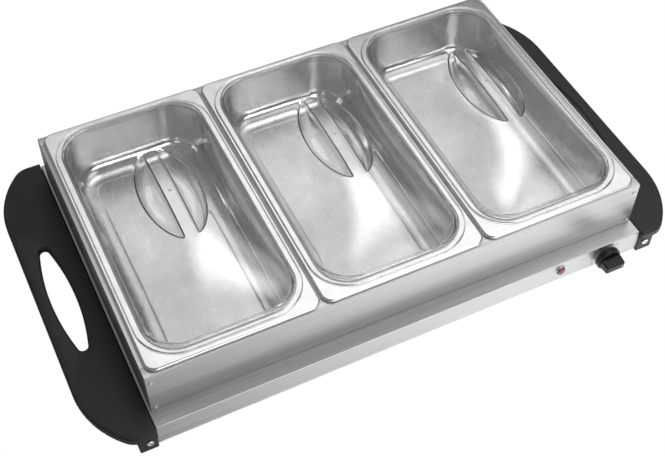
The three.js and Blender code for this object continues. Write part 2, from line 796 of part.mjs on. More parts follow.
const panelFace = -trayHalfWidth;
const thermostatFront = frontInside + gap;
const thermostatBack = thermostatFront + thermostatDepth;
const knobBack = panelFace - knobStandOff;
const knobSkirtFront = knobBack - knobSkirt;
const bushFront = knobBack + 2 * gap;
const shaftFront = knobBack - shaftGrip;

const thermostatCase = box(
  [knobX - thermostatWidth / 2, thermostatFront, coverTop + cableSpace],
  [knobX + thermostatWidth / 2, thermostatBack, trayTop - traySheet - thermostatHeadroom],
);
const bush = rodY(bushRadius, bushFront, thermostatFront + 1, knobX, knobZ);
const bushBore = rodY(shaftRadius + gap, bushFront - 1, thermostatFront + shaftGrip + gap, knobX, knobZ);
add('thermostat_body', cut(join(thermostatCase, bush), bushBore), ceramic);
add('thermostat_shaft', rodY(shaftRadius, shaftFront, thermostatFront + shaftGrip, knobX, knobZ), zinc);

const nut = rodY(nutRadius, panelFace - gap - nutThickness, panelFace - gap, knobX, knobZ, 6);
const nutBore = rodY(bushRadius + gap, panelFace - 9, panelFace, knobX, knobZ);
add('thermostat_nut', cut(nut, nutBore), zinc);

// Skirt with a rounded shoulder, and a bar across it to hold.
function knobGeometry() {
  const shoulder = 2;
  const skirt = turnedY([
    [0, knobBack], [knobRadius, knobBack], [knobRadius, knobSkirtFront + shoulder],
    [knobRadius - shoulder * 0.3, knobSkirtFront + shoulder * 0.3],
    [knobRadius - shoulder, knobSkirtFront], [0, knobSkirtFront],
  ], knobX, knobZ, 28);
  const plan = new THREE.Shape();
  const cornerX = knobBarLength / 2 - knobBarCorner;
  const cornerY = knobBarWidth / 2 - knobBarCorner;
  plan.moveTo(-cornerX, -cornerY - knobBarCorner);
  plan.absarc(cornerX, -cornerY, knobBarCorner, -Math.PI / 2, 0);
  plan.absarc(cornerX, cornerY, knobBarCorner, 0, Math.PI / 2);
  plan.absarc(-cornerX, cornerY, knobBarCorner, Math.PI / 2, Math.PI);
  plan.absarc(-cornerX, -cornerY, knobBarCorner, Math.PI, 1.5 * Math.PI);
  const bar = prism(plan, 0, knobBarHeight + 1, 4);
  bar.rotateX(Math.PI / 2);
  bar.translate(knobX, knobSkirtFront + 1, knobZ);
  const bore = rodY(shaftRadius + gap, shaftFront - gap, knobBack + 1, knobX, knobZ);
  return cut(join(skirt, bar), bore);
}

add('knob', knobGeometry(), knobPlastic);

// ---------------------------------------------------------------- indicator lamp

const lampBack = frontInside + 2;
add('lamp_lens', turnedY([
  [0, lampBack], [lampRadius, lampBack], [lampRadius, panelFace - lampProud + 2],
  [lampRadius * 0.8, panelFace - lampProud + 0.7], [lampRadius * 0.45, panelFace - lampProud + 0.1],
  [0, panelFace - lampProud],
], lampX, lampZ), redLens);

const bezelBack = panelFace - gap / 2;
const bezelInner = lampRadius + gap;
add('lamp_bezel', turnedY([
  [bezelInner, bezelBack], [bezelInner + lampBezelWidth, bezelBack],
  [bezelInner + lampBezelWidth, bezelBack - lampBezelThickness * 0.5],
  [bezelInner + lampBezelWidth * 0.6, bezelBack - lampBezelThickness],
  [bezelInner, bezelBack - lampBezelThickness], [bezelInner, bezelBack],
], lampX, lampZ), brightSteel);

const lampBodyFront = lampBack + gap;
const lampBodyBack = lampBodyFront + lampBodyLength;
add('lamp_body', rodY(lampBodyRadius, lampBodyFront, lampBodyBack, lampX, lampZ), ceramic);

// ---------------------------------------------------------------- mains inlet, terminals and wires

// A moulded bush in the rear panel, with a bore for a supply lead.
const inletBack = trayHalfWidth + inletProud;
const inletFront = -frontInside - inletInner;
const inletFlangeBack = trayHalfWidth + gap + inletFlangeThickness;
const inletBody = turnedY([
  [inletBore, inletFront], [inletNeck, inletFront], [inletNeck, trayHalfWidth + gap],
  [inletFlange, trayHalfWidth + gap], [inletFlange, inletFlangeBack],
  [inletNeck, inletBack], [inletBore, inletBack], [inletBore, inletFront],
], inletX, inletZ);
add('cord_inlet', inletBody, knobPlastic);

const [blockX, blockY, blockZ] = blockSize;
const terminalBlockY = trayHalfWidth - terminalBlockInset;
const blockBottom = coverTop + gap;
const blockFrontY = terminalBlockY - blockY / 2;
const blockBase = box(
  [inletX - blockX / 2, blockFrontY, blockBottom],
  [inletX + blockX / 2, terminalBlockY + blockY / 2, blockBottom + blockZ],
);
const blockGrooves = [-1, 1].map((row) => {
  const middle = terminalBlockY + row * blockGrooveOffset;
  return box(
    [inletX - blockX / 2 - 1, middle - blockGrooveWidth / 2, blockBottom + blockZ * 0.5],
    [inletX + blockX / 2 + 1, middle + blockGrooveWidth / 2, blockBottom + blockZ + 1],
  );
});
add('terminal_block', cut(blockBase, ...blockGrooves), ceramic);

const pinX = elementEnd + elementPinLength + 2 * gap;
const pinY = 3 * elementBend;
const wireFrontY = blockFrontY - 2 * gap;
const wireRearY = thermostatBack + 2 * gap;
const lampTail = lampBodyBack + 2 * gap;
const wallLane = trayHalfLength - 18;
const floorLane = coverTop + 4.5;
const lowLane = coverTop + 5.6;
const frontLane = lampTail + 13.5;
const wallLaneTurn = trayHalfWidth - 82;
const highLane = elementZ - 1.4;
const blockTerminal = blockBottom + blockZ * 0.55;

add('wire_live', tube([
  [inletX - 6, wireFrontY, blockTerminal], [inletX - 5, wireFrontY - 20, lowLane],
  [wallLane - 8, 0, lowLane], [wallLane - 10, -wallLaneTurn, lowLane + 3],
  [knobX + 11, wireRearY + 14, knobZ + 1], [knobX + 11, wireRearY, knobZ + 1],
], wireRadius, wireSteps), wireSleeve);

add('wire_switched', tube([
  [pinX, -pinY, elementZ], [pinX + 7, -pinY - 1, elementZ], [pinX + 11, -pinY - 10, highLane],
  [knobX + 4, wireRearY + 12, highLane - 1], [knobX + 3, wireRearY, highLane - 1],
], wireRadius, wireSteps), wireSleeve);

add('wire_neutral', tube([
  [inletX, wireFrontY, blockTerminal + 1], [inletX, wireFrontY - 5, blockTerminal + 3],
  [inletX - 4, pinY - 5, elementZ - 3], [pinX + 8, pinY - 1, elementZ], [pinX, pinY, elementZ],
], wireRadius, wireSteps), wireSleeve);

add('wire_lamp_live', tube([
  [lampX + 3, lampTail, lampZ], [lampX + 4, lampTail + 4, lampZ - 1.5],
  [lampX + 16, lampTail + 6, lampZ - 5.5], [knobX - 18, wireRearY + 2.5, lampZ - 6.5],
  [knobX - 13, wireRearY + 3, lampZ - 6.5], [knobX - 11, wireRearY, lampZ - 6.5],
], wireRadius, wireSteps), wireSleeve);

add('wire_lamp_neutral', tube([
  [lampX - 3, lampTail, lampZ], [lampX - 3, lampTail + 4, lampZ - 1],
  [lampX + 6, frontLane, floorLane], [knobX, frontLane, floorLane],
  [wallLane, lampTail + 26, floorLane], [wallLane + 4, -60, floorLane],
  [wallLane + 4, 60, floorLane], [inletX + 6, wireFrontY - 10, floorLane],
  [inletX + 6, wireFrontY, floorLane],
], wireRadius, wireSteps + 8), wireSleeve);

// ---------------------------------------------------------------- origin

// The object is centred over the origin along X and Y, and stands on Z = 0.
const extent = new THREE.Box3().setFromObject(assembly);
assembly.position.set(-(extent.min.x + extent.max.x) / 2, -(extent.min.y + extent.max.y) / 2, 0);
assembly.updateMatrixWorld(true);

export default assembly;
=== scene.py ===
# %% [markdown]
# # A three-pan buffet server
#
# The object is a heated steel tray on two plastic end handles. A lift-off frame of folded steel
# stands on the tray and carries three drawn pans, each under a clear domed lid. The measured
# model arrives as a fixed frame of parts, in metres, with Z up and the knob at the front (-Y).
# This script keeps that frame, gives every part its finish, and models the visible pieces again
# with the roundings and thin walls that the real ones have.

# %% Load the fixed frame
import math

import bpy
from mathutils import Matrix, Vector


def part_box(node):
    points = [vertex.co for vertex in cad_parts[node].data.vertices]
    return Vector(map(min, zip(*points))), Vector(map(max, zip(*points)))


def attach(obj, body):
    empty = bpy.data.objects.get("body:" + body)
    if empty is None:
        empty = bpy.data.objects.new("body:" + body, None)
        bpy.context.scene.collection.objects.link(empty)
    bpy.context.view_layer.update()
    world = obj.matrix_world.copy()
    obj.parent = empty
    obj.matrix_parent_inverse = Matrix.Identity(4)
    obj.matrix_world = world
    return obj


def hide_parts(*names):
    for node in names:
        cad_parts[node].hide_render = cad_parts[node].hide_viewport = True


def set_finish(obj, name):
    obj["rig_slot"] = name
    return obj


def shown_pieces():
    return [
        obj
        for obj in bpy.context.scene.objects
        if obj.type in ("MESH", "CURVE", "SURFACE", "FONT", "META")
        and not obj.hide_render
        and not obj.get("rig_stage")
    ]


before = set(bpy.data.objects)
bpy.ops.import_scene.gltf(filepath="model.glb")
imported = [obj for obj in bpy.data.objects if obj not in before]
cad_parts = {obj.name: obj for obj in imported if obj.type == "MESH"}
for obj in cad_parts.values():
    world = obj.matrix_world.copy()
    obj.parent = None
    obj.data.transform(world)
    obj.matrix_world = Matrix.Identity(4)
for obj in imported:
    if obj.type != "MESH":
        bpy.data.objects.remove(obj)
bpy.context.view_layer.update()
MM = 0.001

# %% [markdown]
# ## The camera
#
# The camera looks down at the front left corner of the server at about 51 degrees. A lens of
# 63 mm keeps the far pans a little smaller than the near one. It is rolled by half a degree.

# %% Camera
CAMERA_PLACE = Vector((-0.3643, -0.7296, 0.9909))
CAMERA_TARGET = Vector((-0.0421, -0.0756, 0.0960))
CAMERA_ROLL = math.radians(0.53)
CAMERA_LENS = 63.08  # millimetres, like the sensor
CAMERA_SENSOR = 36.0

bpy.ops.object.select_all(action="DESELECT")
bpy.ops.object.camera_add(location=CAMERA_PLACE)
camera = bpy.context.object
camera.name = "camera"
camera.data.lens = CAMERA_LENS
camera.data.sensor_width = CAMERA_SENSOR
camera.rotation_euler = (CAMERA_TARGET - CAMERA_PLACE).to_track_quat("-Z", "Y").to_euler()
camera.rotation_euler.rotate_axis("Z", CAMERA_ROLL)
bpy.context.scene.camera = camera
print("camera", round((CAMERA_TARGET - CAMERA_PLACE).length, 3), "m from its target")

# %% [markdown]
# ## The studio
#
# Steel looks like what stands round it, so the lights are part of the finish. Four soft panels
# stand outside the picture. One overhead gives the glow on the lids. One low in front gives the
# white stripe at the foot of each pan's rear wall. One above the front lights the ledge and the
# front wall, and a dim one behind gives the pans their light floors. The panels let light through
# and add their own, so none hides another, and they fade to their edges, so none shows as a hard
# shape. The grey world between them leaves the darker bands. The camera sees the floor and the
# world as plain white. The steel sees a grey floor with a round pool of light by the front.

# %% Floor
WHITE = (1.0, 1.0, 1.0, 1)
FLOOR_HALF = 6.0
FLOOR_DROP = 0.0003
FLOOR_TONE = (0.50, 0.50, 0.51, 1)
POOL_MIDDLE = (0.30, -0.36)
POOL_RADIUS = 0.80
POOL_GLOW = 1.0
POOL_FADE = 0.8  # the part of its radius over which the pool fades out

bpy.ops.object.select_all(action="DESELECT")
bpy.ops.mesh.primitive_plane_add(size=2 * FLOOR_HALF, location=(0, 0, -FLOOR_DROP))
floor = bpy.context.object
floor.name = "floor"
floor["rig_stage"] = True

paper = bpy.data.materials.new("white_paper_floor")
paper.use_nodes = True
tree = paper.node_tree
tree.nodes.clear()
out = tree.nodes.new("ShaderNodeOutputMaterial")
seen = tree.nodes.new("ShaderNodeEmission")
seen.inputs["Color"].default_value = WHITE
seen.inputs["Strength"].default_value = 1.0
lit = tree.nodes.new("ShaderNodeBsdfDiffuse")
lit.inputs["Color"].default_value = FLOOR_TONE
place = tree.nodes.new("ShaderNodeTexCoord")
to_pool = tree.nodes.new("ShaderNodeMapping")
to_pool.inputs["Location"].default_value = [-c / POOL_RADIUS for c in (*POOL_MIDDLE, 0)]
to_pool.inputs["Scale"].default_value = (1 / POOL_RADIUS, 1 / POOL_RADIUS, 1)
fade = tree.nodes.new("ShaderNodeTexGradient")
fade.gradient_type = "SPHERICAL"
pool = tree.nodes.new("ShaderNodeMapRange")
pool.interpolation_type = "SMOOTHSTEP"
pool.inputs["From Max"].default_value = POOL_FADE
pool.inputs["To Max"].default_value = POOL_GLOW
glow = tree.nodes.new("ShaderNodeEmission")
path = tree.nodes.new("ShaderNodeLightPath")
both = tree.nodes.new("ShaderNodeAddShader")
choose = tree.nodes.new("ShaderNodeMixShader")
tree.links.new(place.outputs["Object"], to_pool.inputs["Vector"])
tree.links.new(to_pool.outputs["Vector"], fade.inputs["Vector"])
tree.links.new(fade.outputs["Fac"], pool.inputs["Value"])
tree.links.new(pool.outputs["Result"], glow.inputs["Strength"])
tree.links.new(glow.outputs[0], both.inputs[0])
tree.links.new(lit.outputs[0], both.inputs[1])
tree.links.new(path.outputs["Is Camera Ray"], choose.inputs[0])
tree.links.new(both.outputs[0], choose.inputs[1])
tree.links.new(seen.outputs[0], choose.inputs[2])
tree.links.new(choose.outputs[0], out.inputs[0])
floor.data.materials.append(paper)
print("floor", 2 * FLOOR_HALF, "m wide")


# %% Lights
PANEL_AIM = (0.0, 0.0, 0.08)
AIR_TONE = (0.22, 0.22, 0.228, 1)
PANELS = (  # name, place, (width, height), glow, flat part
    ("panel_overhead", (0.78, 0.26, 2.90), (2.5, 2.3), 3.4, 0.0),
    ("panel_front", (0.40, -2.2, 0.86), (2.8, 1.0), 5.0, 0.3),
    ("panel_over_front", (1.30, -1.15, 1.95), (2.8, 1.8), 1.15, 0.4),
    ("panel_behind", (0.89, 1.10, 2.28), (4.4, 2.2), 0.95, 0.42),
)


def soft_panel(name, place, size, glow, flat):
    """A panel of size (width, height) in metres that glows evenly in its middle and fades to its
    edge: flat is the part of the way out where the fading starts. It hides nothing behind it."""
    bpy.ops.object.select_all(action="DESELECT")
    bpy.ops.mesh.primitive_plane_add(size=2, location=place)
    panel = bpy.context.object
    panel.name = name
    panel.scale = (size[0] / 2, size[1] / 2, 1)
    panel.rotation_euler = (Vector(place) - Vector(PANEL_AIM)).to_track_quat("Z", "Y").to_euler()
    panel.visible_camera = False
    cloth = bpy.data.materials.new(name + "_cloth")
    cloth.use_nodes = True
    tree = cloth.node_tree
    tree.nodes.clear()
    place_on = tree.nodes.new("ShaderNodeTexCoord")
    fade = tree.nodes.new("ShaderNodeTexGradient")
    fade.gradient_type = "SPHERICAL"
    soften = tree.nodes.new("ShaderNodeMapRange")
    soften.interpolation_type = "SMOOTHSTEP"
    soften.inputs["From Max"].default_value = 1 - flat
    soften.inputs["To Max"].default_value = glow
    lamp = tree.nodes.new("ShaderNodeEmission")
    clear = tree.nodes.new("ShaderNodeBsdfTransparent")
    both = tree.nodes.new("ShaderNodeAddShader")
    out = tree.nodes.new("ShaderNodeOutputMaterial")
    tree.links.new(place_on.outputs["Object"], fade.inputs["Vector"])
    tree.links.new(fade.outputs["Fac"], soften.inputs["Value"])
    tree.links.new(soften.outputs["Result"], lamp.inputs["Strength"])
    tree.links.new(lamp.outputs[0], both.inputs[0])
    tree.links.new(clear.outputs[0], both.inputs[1])
    tree.links.new(both.outputs[0], out.inputs[0])
    panel.data.materials.append(cloth)
    panel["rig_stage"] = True
    return panel


panels = [soft_panel(*row) for row in PANELS]
world = bpy.data.worlds.new("grey_studio")
bpy.context.scene.world = world
world.use_nodes = True
tree = world.node_tree
air = tree.nodes["Background"]
air.inputs["Color"].default_value = AIR_TONE
backdrop = tree.nodes.new("ShaderNodeBackground")
backdrop.inputs["Color"].default_value = WHITE
path = tree.nodes.new("ShaderNodeLightPath")
choose = tree.nodes.new("ShaderNodeMixShader")
tree.links.new(path.outputs["Is Camera Ray"], choose.inputs[0])
tree.links.new(air.outputs[0], choose.inputs[1])
tree.links.new(backdrop.outputs[0], choose.inputs[2])
tree.links.new(choose.outputs[0], tree.nodes["World Output"].inputs["Surface"])
bpy.context.scene.view_settings.view_transform = "Standard"
print("soft panels:", ", ".join(p.name for p in panels))

# %% [markdown]
# ## Working by hand, in code
#
# Every new piece starts as a primitive at its own size and place. It is shaped in edit mode by
# insets, extrusions, bevels, spins and bridges. An operator acts on all that is selected, so each
# step first picks its points, edges or faces by where they lie.

# %% Selection helpers
import bmesh


def let_go():
    """Back to object mode, with nothing selected."""
    if bpy.context.object and bpy.context.object.mode != "OBJECT":
        bpy.ops.object.mode_set(mode="OBJECT")
    bpy.ops.object.select_all(action="DESELECT")


def take(*pieces):
    """Selects these pieces only, and makes the first one active."""
    let_go()
    for piece in pieces:
        piece.select_set(True)
    bpy.context.view_layer.objects.active = pieces[0]


def pick(kind, test):
    """In edit mode, selects only the POINTS, EDGES or FACES that pass the test."""
    kinds = ("POINTS", "EDGES", "FACES")
    bpy.ops.mesh.select_all(action="DESELECT")
    bpy.context.tool_settings.mesh_select_mode = [kind == other for other in kinds]
    mesh = bpy.context.object.data
    cage = bmesh.from_edit_mesh(mesh)
    items = {"POINTS": cage.verts, "EDGES": cage.edges, "FACES": cage.faces}[kind]
    for item in items:
        if test(item):
            item.select_set(True)
    cage.select_flush_mode()
    bmesh.update_edit_mesh(mesh)
    return sum(item.select for item in items)


print("helpers ready")


# %% A flat sheet with rounded corners
def face_loop():
    """Fills the loop that is selected with one face that looks up."""
    bpy.ops.mesh.select_all(action="SELECT")
    bpy.ops.mesh.edge_face_add()
    faces = bmesh.from_edit_mesh(bpy.context.object.data).faces
    if sum(face.normal.z for face in faces) < 0:
        bpy.ops.mesh.flip_normals()


def rounded_sheet(name, half, corner, centre, segments=14, side_cuts=0):
    """One flat face with rounded corners, left selected in edit mode."""
    let_go()
    bpy.ops.mesh.primitive_plane_add(size=2, location=centre)
    piece = bpy.context.object
    piece.name = name
    piece.scale = (half[0], half[1], 1)
    bpy.ops.object.transform_apply(location=True, rotation=True, scale=True)
    bpy.ops.object.mode_set(mode="EDIT")
    bpy.ops.mesh.select_all(action="SELECT")
    bpy.ops.mesh.bevel(offset=corner, segments=segments, affect="VERTICES")
    if side_cuts:
        bpy.ops.mesh.select_all(action="SELECT")
        bpy.ops.mesh.delete(type="ONLY_FACE")
        pick("EDGES", lambda edge: edge.calc_length() > 2 * min(half) - 2.2 * corner)
        bpy.ops.mesh.subdivide(number_cuts=side_cuts)
        face_loop()
    bpy.ops.mesh.select_all(action="SELECT")
    return piece


def follow(points):
    """Insets the selected face along a profile: points are (how far in, how high), in metres."""
    for (in_0, up_0), (in_1, up_1) in zip(points, points[1:]):
        bpy.ops.mesh.inset(thickness=max(in_1 - in_0, 1e-6), depth=up_1 - up_0)


def bend(centre, radius, first, last, steps):
    """Points of an arc in a profile, from one angle to another, in degrees."""
    angles = [math.radians(first + (last - first) * i / steps) for i in range(steps + 1)]
    return [(centre[0] + radius * math.cos(a), centre[1] + radius * math.sin(a)) for a in angles]


print("sheet tools ready")

# %% [markdown]
# ## The pans
#
# Each pan is one drawn sheet: a flat flange with a turned-down lip, a rounded mouth, leaning
# walls, and a floor with a shallow raised panel. The flange has tight outer corners and the mouth
# has wide ones, so no single outline gives both. Two flat sheets are inset along their own
# profiles, the lip from outside and the bowl from the mouth down, and the flat flange is bridged
# between them. Solidify then gives the sheet its thickness on the outside.

# %% Pan sizes
pan_low, pan_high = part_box("pan_centre")
PAN_TOP = pan_high.z
PAN_HALF = ((pan_high.x - pan_low.x) / 2, (pan_high.y - pan_low.y) / 2)
PAN_CENTRE = (pan_low + pan_high) / 2
PAN_SHEET = 0.9 * MM
PAN_DEPTH = PAN_TOP - pan_low.z - PAN_SHEET
LIP = 3.7 * MM
LIP_CORNER = 11 * MM
LIP_BEND = 2.2 * MM
MOUTH_BAND = 12.5 * MM
MOUTH_EDGE = 1.6 * MM
MOUTH_CORNER = 38 * MM
FLOOR_BEND = 17.5 * MM
WALL_LEAN = 4 * MM
print("pan flange", [round(2 * h, 4) for h in PAN_HALF], "depth", round(PAN_DEPTH, 4))

# %% Lip, from the outside in
lip = rounded_sheet("lip", PAN_HALF, LIP_CORNER, (0, PAN_CENTRE.y, PAN_TOP - LIP))
follow([(0, -LIP), (0.02 * MM, -LIP_BEND)] + [
    (LIP_BEND - x, y) for x, y in bend((0, -LIP_BEND), LIP_BEND, 15, 90, 5)
])
bpy.ops.mesh.delete(type="ONLY_FACE")
print("lip", len(lip.data.vertices), "points before its bend is counted")

# %% Bowl, from the mouth down
mouth_half = tuple(h - MOUTH_BAND + MOUTH_EDGE for h in PAN_HALF)
bowl = rounded_sheet("bowl", mouth_half, MOUTH_CORNER + MOUTH_EDGE, (0, PAN_CENTRE.y, PAN_TOP))
wall_foot = MOUTH_EDGE + WALL_LEAN
floor_in = wall_foot + FLOOR_BEND
PANEL_IN = 2.2 * MM
PANEL_RISE = 0.5 * MM
mouth_bend = bend((0, -MOUTH_EDGE), MOUTH_EDGE, 90, 6, 5)
floor_bend = [
    (2 * floor_in - x, y) for x, y in bend((floor_in, FLOOR_BEND - PAN_DEPTH), FLOOR_BEND, -6, -90, 12)
]
panel_step = [
    (floor_in + PANEL_IN, -PAN_DEPTH),
    (floor_in + PANEL_IN + 0.8 * MM, -PAN_DEPTH + 0.15 * PANEL_RISE),
    (floor_in + PANEL_IN + 1.9 * MM, -PAN_DEPTH + 0.85 * PANEL_RISE),
    (floor_in + PANEL_IN + 2.7 * MM, -PAN_DEPTH + PANEL_RISE),
]
follow(mouth_bend + floor_bend + panel_step)
print("bowl profile has", len(mouth_bend + floor_bend + panel_step), "levels")

# %% Flange between them, and the sheet's thickness
take(lip, bowl)
bpy.ops.object.join()
bpy.ops.object.mode_set(mode="EDIT")
pick("EDGES", lambda e: e.is_boundary and min(v.co.z for v in e.verts) > PAN_TOP - 0.01 * MM)
bpy.ops.mesh.bridge_edge_loops()
bpy.ops.mesh.select_all(action="SELECT")
bpy.ops.mesh.remove_doubles(threshold=1e-7)
let_go()
drawn_pan = lip
drawn_pan.name = "drawn_pan"


def thicken(piece, thickness):
    """Gives a sheet its thickness on the side away from its normals."""
    take(piece)
    sheet = piece.modifiers.new("thickness", "SOLIDIFY")
    sheet.thickness = thickness
    sheet.offset = -1
    sheet.use_even_offset = False
    bpy.ops.object.modifier_apply(modifier=sheet.name)


def smooth(piece, degrees=32):
    """Smooth shading up to this angle. Large flat faces keep their own direction."""
    take(piece)
    bpy.ops.object.shade_smooth_by_angle(angle=math.radians(degrees))
    lead = piece.modifiers.new("flats_lead", "WEIGHTED_NORMAL")
    lead.keep_sharp = True
    bpy.ops.object.modifier_apply(modifier=lead.name)


thicken(drawn_pan, PAN_SHEET)
smooth(drawn_pan)
pan_crest = max(v.co.z for v in drawn_pan.data.vertices)
print("drawn pan:", len(drawn_pan.data.polygons), "faces, top at", round(pan_crest, 4))


# %% Three pans from one
def copy_to(piece, name, shift, body, slot, *nodes):
    """A copy with its own mesh, moved by shift, riding on a body in place of CAD nodes."""
    take(piece)
    bpy.ops.object.duplicate()
    made = bpy.context.object
    made.name = name
    bpy.ops.transform.translate(value=shift)
    bpy.ops.object.transform_apply(location=True, rotation=True, scale=True)
    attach(made, body)
    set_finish(made, slot)
    if nodes:
        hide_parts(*nodes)
    return made


SIDES = ("left", "centre", "right")
pan_x = {side: sum(c.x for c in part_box("pan_" + side)) / 2 for side in SIDES}
pans = []
for side in SIDES:
    pan = "pan_" + side
    pans.append(copy_to(drawn_pan, pan + "_drawn", (pan_x[side], 0, 0), pan, "polished_steel", pan))
bpy.data.objects.remove(drawn_pan)
print("pans:", ", ".join(p.name for p in pans))

# %% [markdown]
# ## The lids
#
# A lid is one clear moulding: a flat rim, a step up to the dome, and a grip pressed into the
# crown. The grip is two half-oval finger wells with a bar left between them. The plan is drawn
# flat first. The rim is inset from its outline, an oval is cut by two lines into well, bar and
# well, and the sheet between rim and oval is bridged with many cuts. Then the flat sheet is
# raised to the dome's height, which no operator can do in one move, so each point is lifted by the
# rule of the dome. Last the wells are sunk by insets and the sheet gets its thickness.

# %% Lid sizes
lid_low, lid_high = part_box("lid_centre")
LID_BASE = PAN_TOP + 0.3 * MM
LID_HALF = ((lid_high.x - lid_low.x) / 2, (lid_high.y - lid_low.y) / 2)
LID_CORNER = 42 * MM
LID_BAND = 9 * MM
LID_SHEET = 1.3 * MM
LID_STEP = 6 * MM
LID_RISE = 33.2 * MM
DOME_POWER = 2.3
CROWN_POWER = 2.4  # 2 gives an oval crown, more gives squarer ones
CROWN_PART = 0.45  # the share of the way down the dome where its foot's outline begins to count
COVER_STEPS = 16  # cuts along each side of the flat cover, and along each corner
LOCATOR_IN = 1.5 * MM
LOCATOR_DROP = 3.5 * MM
LOCATOR_HIGH = 4.3 * MM
DOME_HALF = tuple(h - LID_BAND for h in LID_HALF)
DOME_CORNER = LID_CORNER - LID_BAND
GRIP_HALF = (30.5 * MM, 61 * MM)
BAR_HALF = 7 * MM
print("lid rim", [round(2 * h, 4) for h in LID_HALF], "crown", round(lid_high.z, 4))

# %% Rim and step
cover_place = (0, PAN_CENTRE.y, LID_BASE + 0.2 * MM)
cover = rounded_sheet("cover", LID_HALF, LID_CORNER, cover_place, COVER_STEPS, COVER_STEPS)
RIM_TOP = LID_SHEET + 0.2 * MM
rim_profile = [(0, 0.2 * MM), (0.02 * MM, RIM_TOP - 0.8 * MM)]
rim_profile += [(0.8 * MM - x, y) for x, y in bend((0, RIM_TOP - 0.8 * MM), 0.8 * MM, 20, 90, 4)]
rim_profile += [(LID_BAND - 3.4 * MM, RIM_TOP)]
rim_profile += bend((LID_BAND - 3.4 * MM, RIM_TOP + 1.4 * MM), 1.4 * MM, -75, -12, 4)
rim_profile += [(LID_BAND - 1.7 * MM, LID_STEP - 1.5 * MM)]
follow(rim_profile)
bpy.ops.mesh.delete(type="ONLY_FACE")
print("rim profile has", len(rim_profile), "levels")

# %% One finger well's outline: half an oval with rounded ends
PLAN_Z = LID_BASE + rim_profile[-1][1]
RIM_POINTS = 4 * (COVER_STEPS + 1) + 4 * COVER_STEPS
WELL_END = 3.2 * MM


def oval_sheet(half, fill):
    """An oval at the lid's middle, flat, in edit mode."""
    let_go()
    bpy.ops.mesh.primitive_circle_add(
        vertices=RIM_POINTS, radius=1, fill_type=fill, location=(0, PAN_CENTRE.y, PLAN_Z)
    )
    made = bpy.context.object
    made.scale = (half[0], half[1], 1)
    bpy.ops.object.transform_apply(location=True, rotation=True, scale=True)
    bpy.ops.object.mode_set(mode="EDIT")
    bpy.ops.mesh.select_all(action="SELECT")
    return made


def well_sheet(side):
    """One well's flat outline, on the side -1 or 1 of the bar."""
    made = oval_sheet(GRIP_HALF, "NGON")
    bpy.ops.mesh.bisect(plane_co=(side * BAR_HALF, 0, 0), plane_no=(side, 0, 0), clear_inner=True)
    tip_y = max(v.co.y for v in bmesh.from_edit_mesh(made.data).verts if abs(v.co.x) < BAR_HALF + 1e-6)
    tips = [Vector((side * BAR_HALF, y, PLAN_Z)) for y in (tip_y, 2 * PAN_CENTRE.y - tip_y)]
    pick("POINTS", lambda v: any(1e-6 < (v.co - tip).length < WELL_END * 1.3 for tip in tips))
    bpy.ops.mesh.dissolve_verts()
    pick("POINTS", lambda v: any((v.co - tip).length < 1e-6 for tip in tips))
    bpy.ops.mesh.bevel(offset=WELL_END, segments=6, affect="VERTICES")
    bpy.ops.mesh.select_all(action="SELECT")
    bpy.ops.mesh.delete(type="ONLY_FACE")
    pick("EDGES", lambda e: e.calc_length() > 40 * MM)
    bpy.ops.mesh.subdivide(number_cuts=30)
    face_loop()
    let_go()
    return made


wells = [well_sheet(-1), well_sheet(1)]
print("each well has", len(wells[0].data.vertices), "points round it")

# %% Fill round the wells, and bridge out to the rim
surround = oval_sheet([h + 3.5 * MM for h in GRIP_HALF], "NOTHING")
take(cover, surround, *wells)
bpy.ops.object.join()
bpy.ops.object.mode_set(mode="EDIT")
mid_y = PAN_CENTRE.y


def in_grip(edge):
    """Edges of the wells and of the oval round them."""
    spot = (edge.verts[0].co + edge.verts[1].co) / 2
    inside = abs(spot.x) < 0.5 * LID_HALF[0] and abs(spot.y - mid_y) < 0.5 * LID_HALF[1]
    return abs(spot.z - PLAN_Z) < 1e-6 and inside


pick("EDGES", in_grip)
bpy.ops.mesh.fill(use_beauty=True)
cage = bmesh.from_edit_mesh(cover.data)
for face in cage.faces:
    if abs(face.calc_center_median().z - PLAN_Z) < 1e-6 and face.normal.z < 0:
        face.normal_flip()
bmesh.update_edit_mesh(cover.data)
pick("EDGES", lambda e: len(e.link_faces) == 1 and abs(e.verts[0].co.z - PLAN_Z) < 1e-6)
bpy.ops.mesh.bridge_edge_loops(number_cuts=22, interpolation="LINEAR")
bpy.ops.mesh.select_all(action="SELECT")
bpy.ops.mesh.remove_doubles(threshold=1e-7)
print("cover plan:", len(bmesh.from_edit_mesh(cover.data).faces), "faces")


# %% Raise the flat sheet to the dome
def dome_share(x, y):
    """0 at the crown and 1 at the dome's foot: a round crown that runs out to the foot's outline."""
    low, high = 0.0, 1.3
    for _ in range(24):
        share = (low + high) / 2
        corner = DOME_CORNER + (DOME_HALF[0] - DOME_CORNER) * (1 - share)
        corner = min(corner, DOME_HALF[0]) * share
        across = abs(x) - DOME_HALF[0] * share + corner
        along = abs(y) - DOME_HALF[1] * share + corner
        beyond = math.hypot(max(across, 0), max(along, 0)) + min(max(across, along), 0) - corner
        if beyond > 0:
            low = share
        else:
            high = share
    crown = abs(x / DOME_HALF[0]) ** CROWN_POWER + abs(y / DOME_HALF[1]) ** CROWN_POWER
    crown = crown ** (1 / CROWN_POWER)
    out = min(max((share - CROWN_PART) / (1 - CROWN_PART), 0), 1)
    out = out * out * (3 - 2 * out)
    return crown + (share - crown) * out


def dome_height(x, y):
    """The height of the dome's outside at a place on the plan."""
    return LID_BASE + LID_STEP + LID_RISE * (1 - dome_share(x, y) ** DOME_POWER)


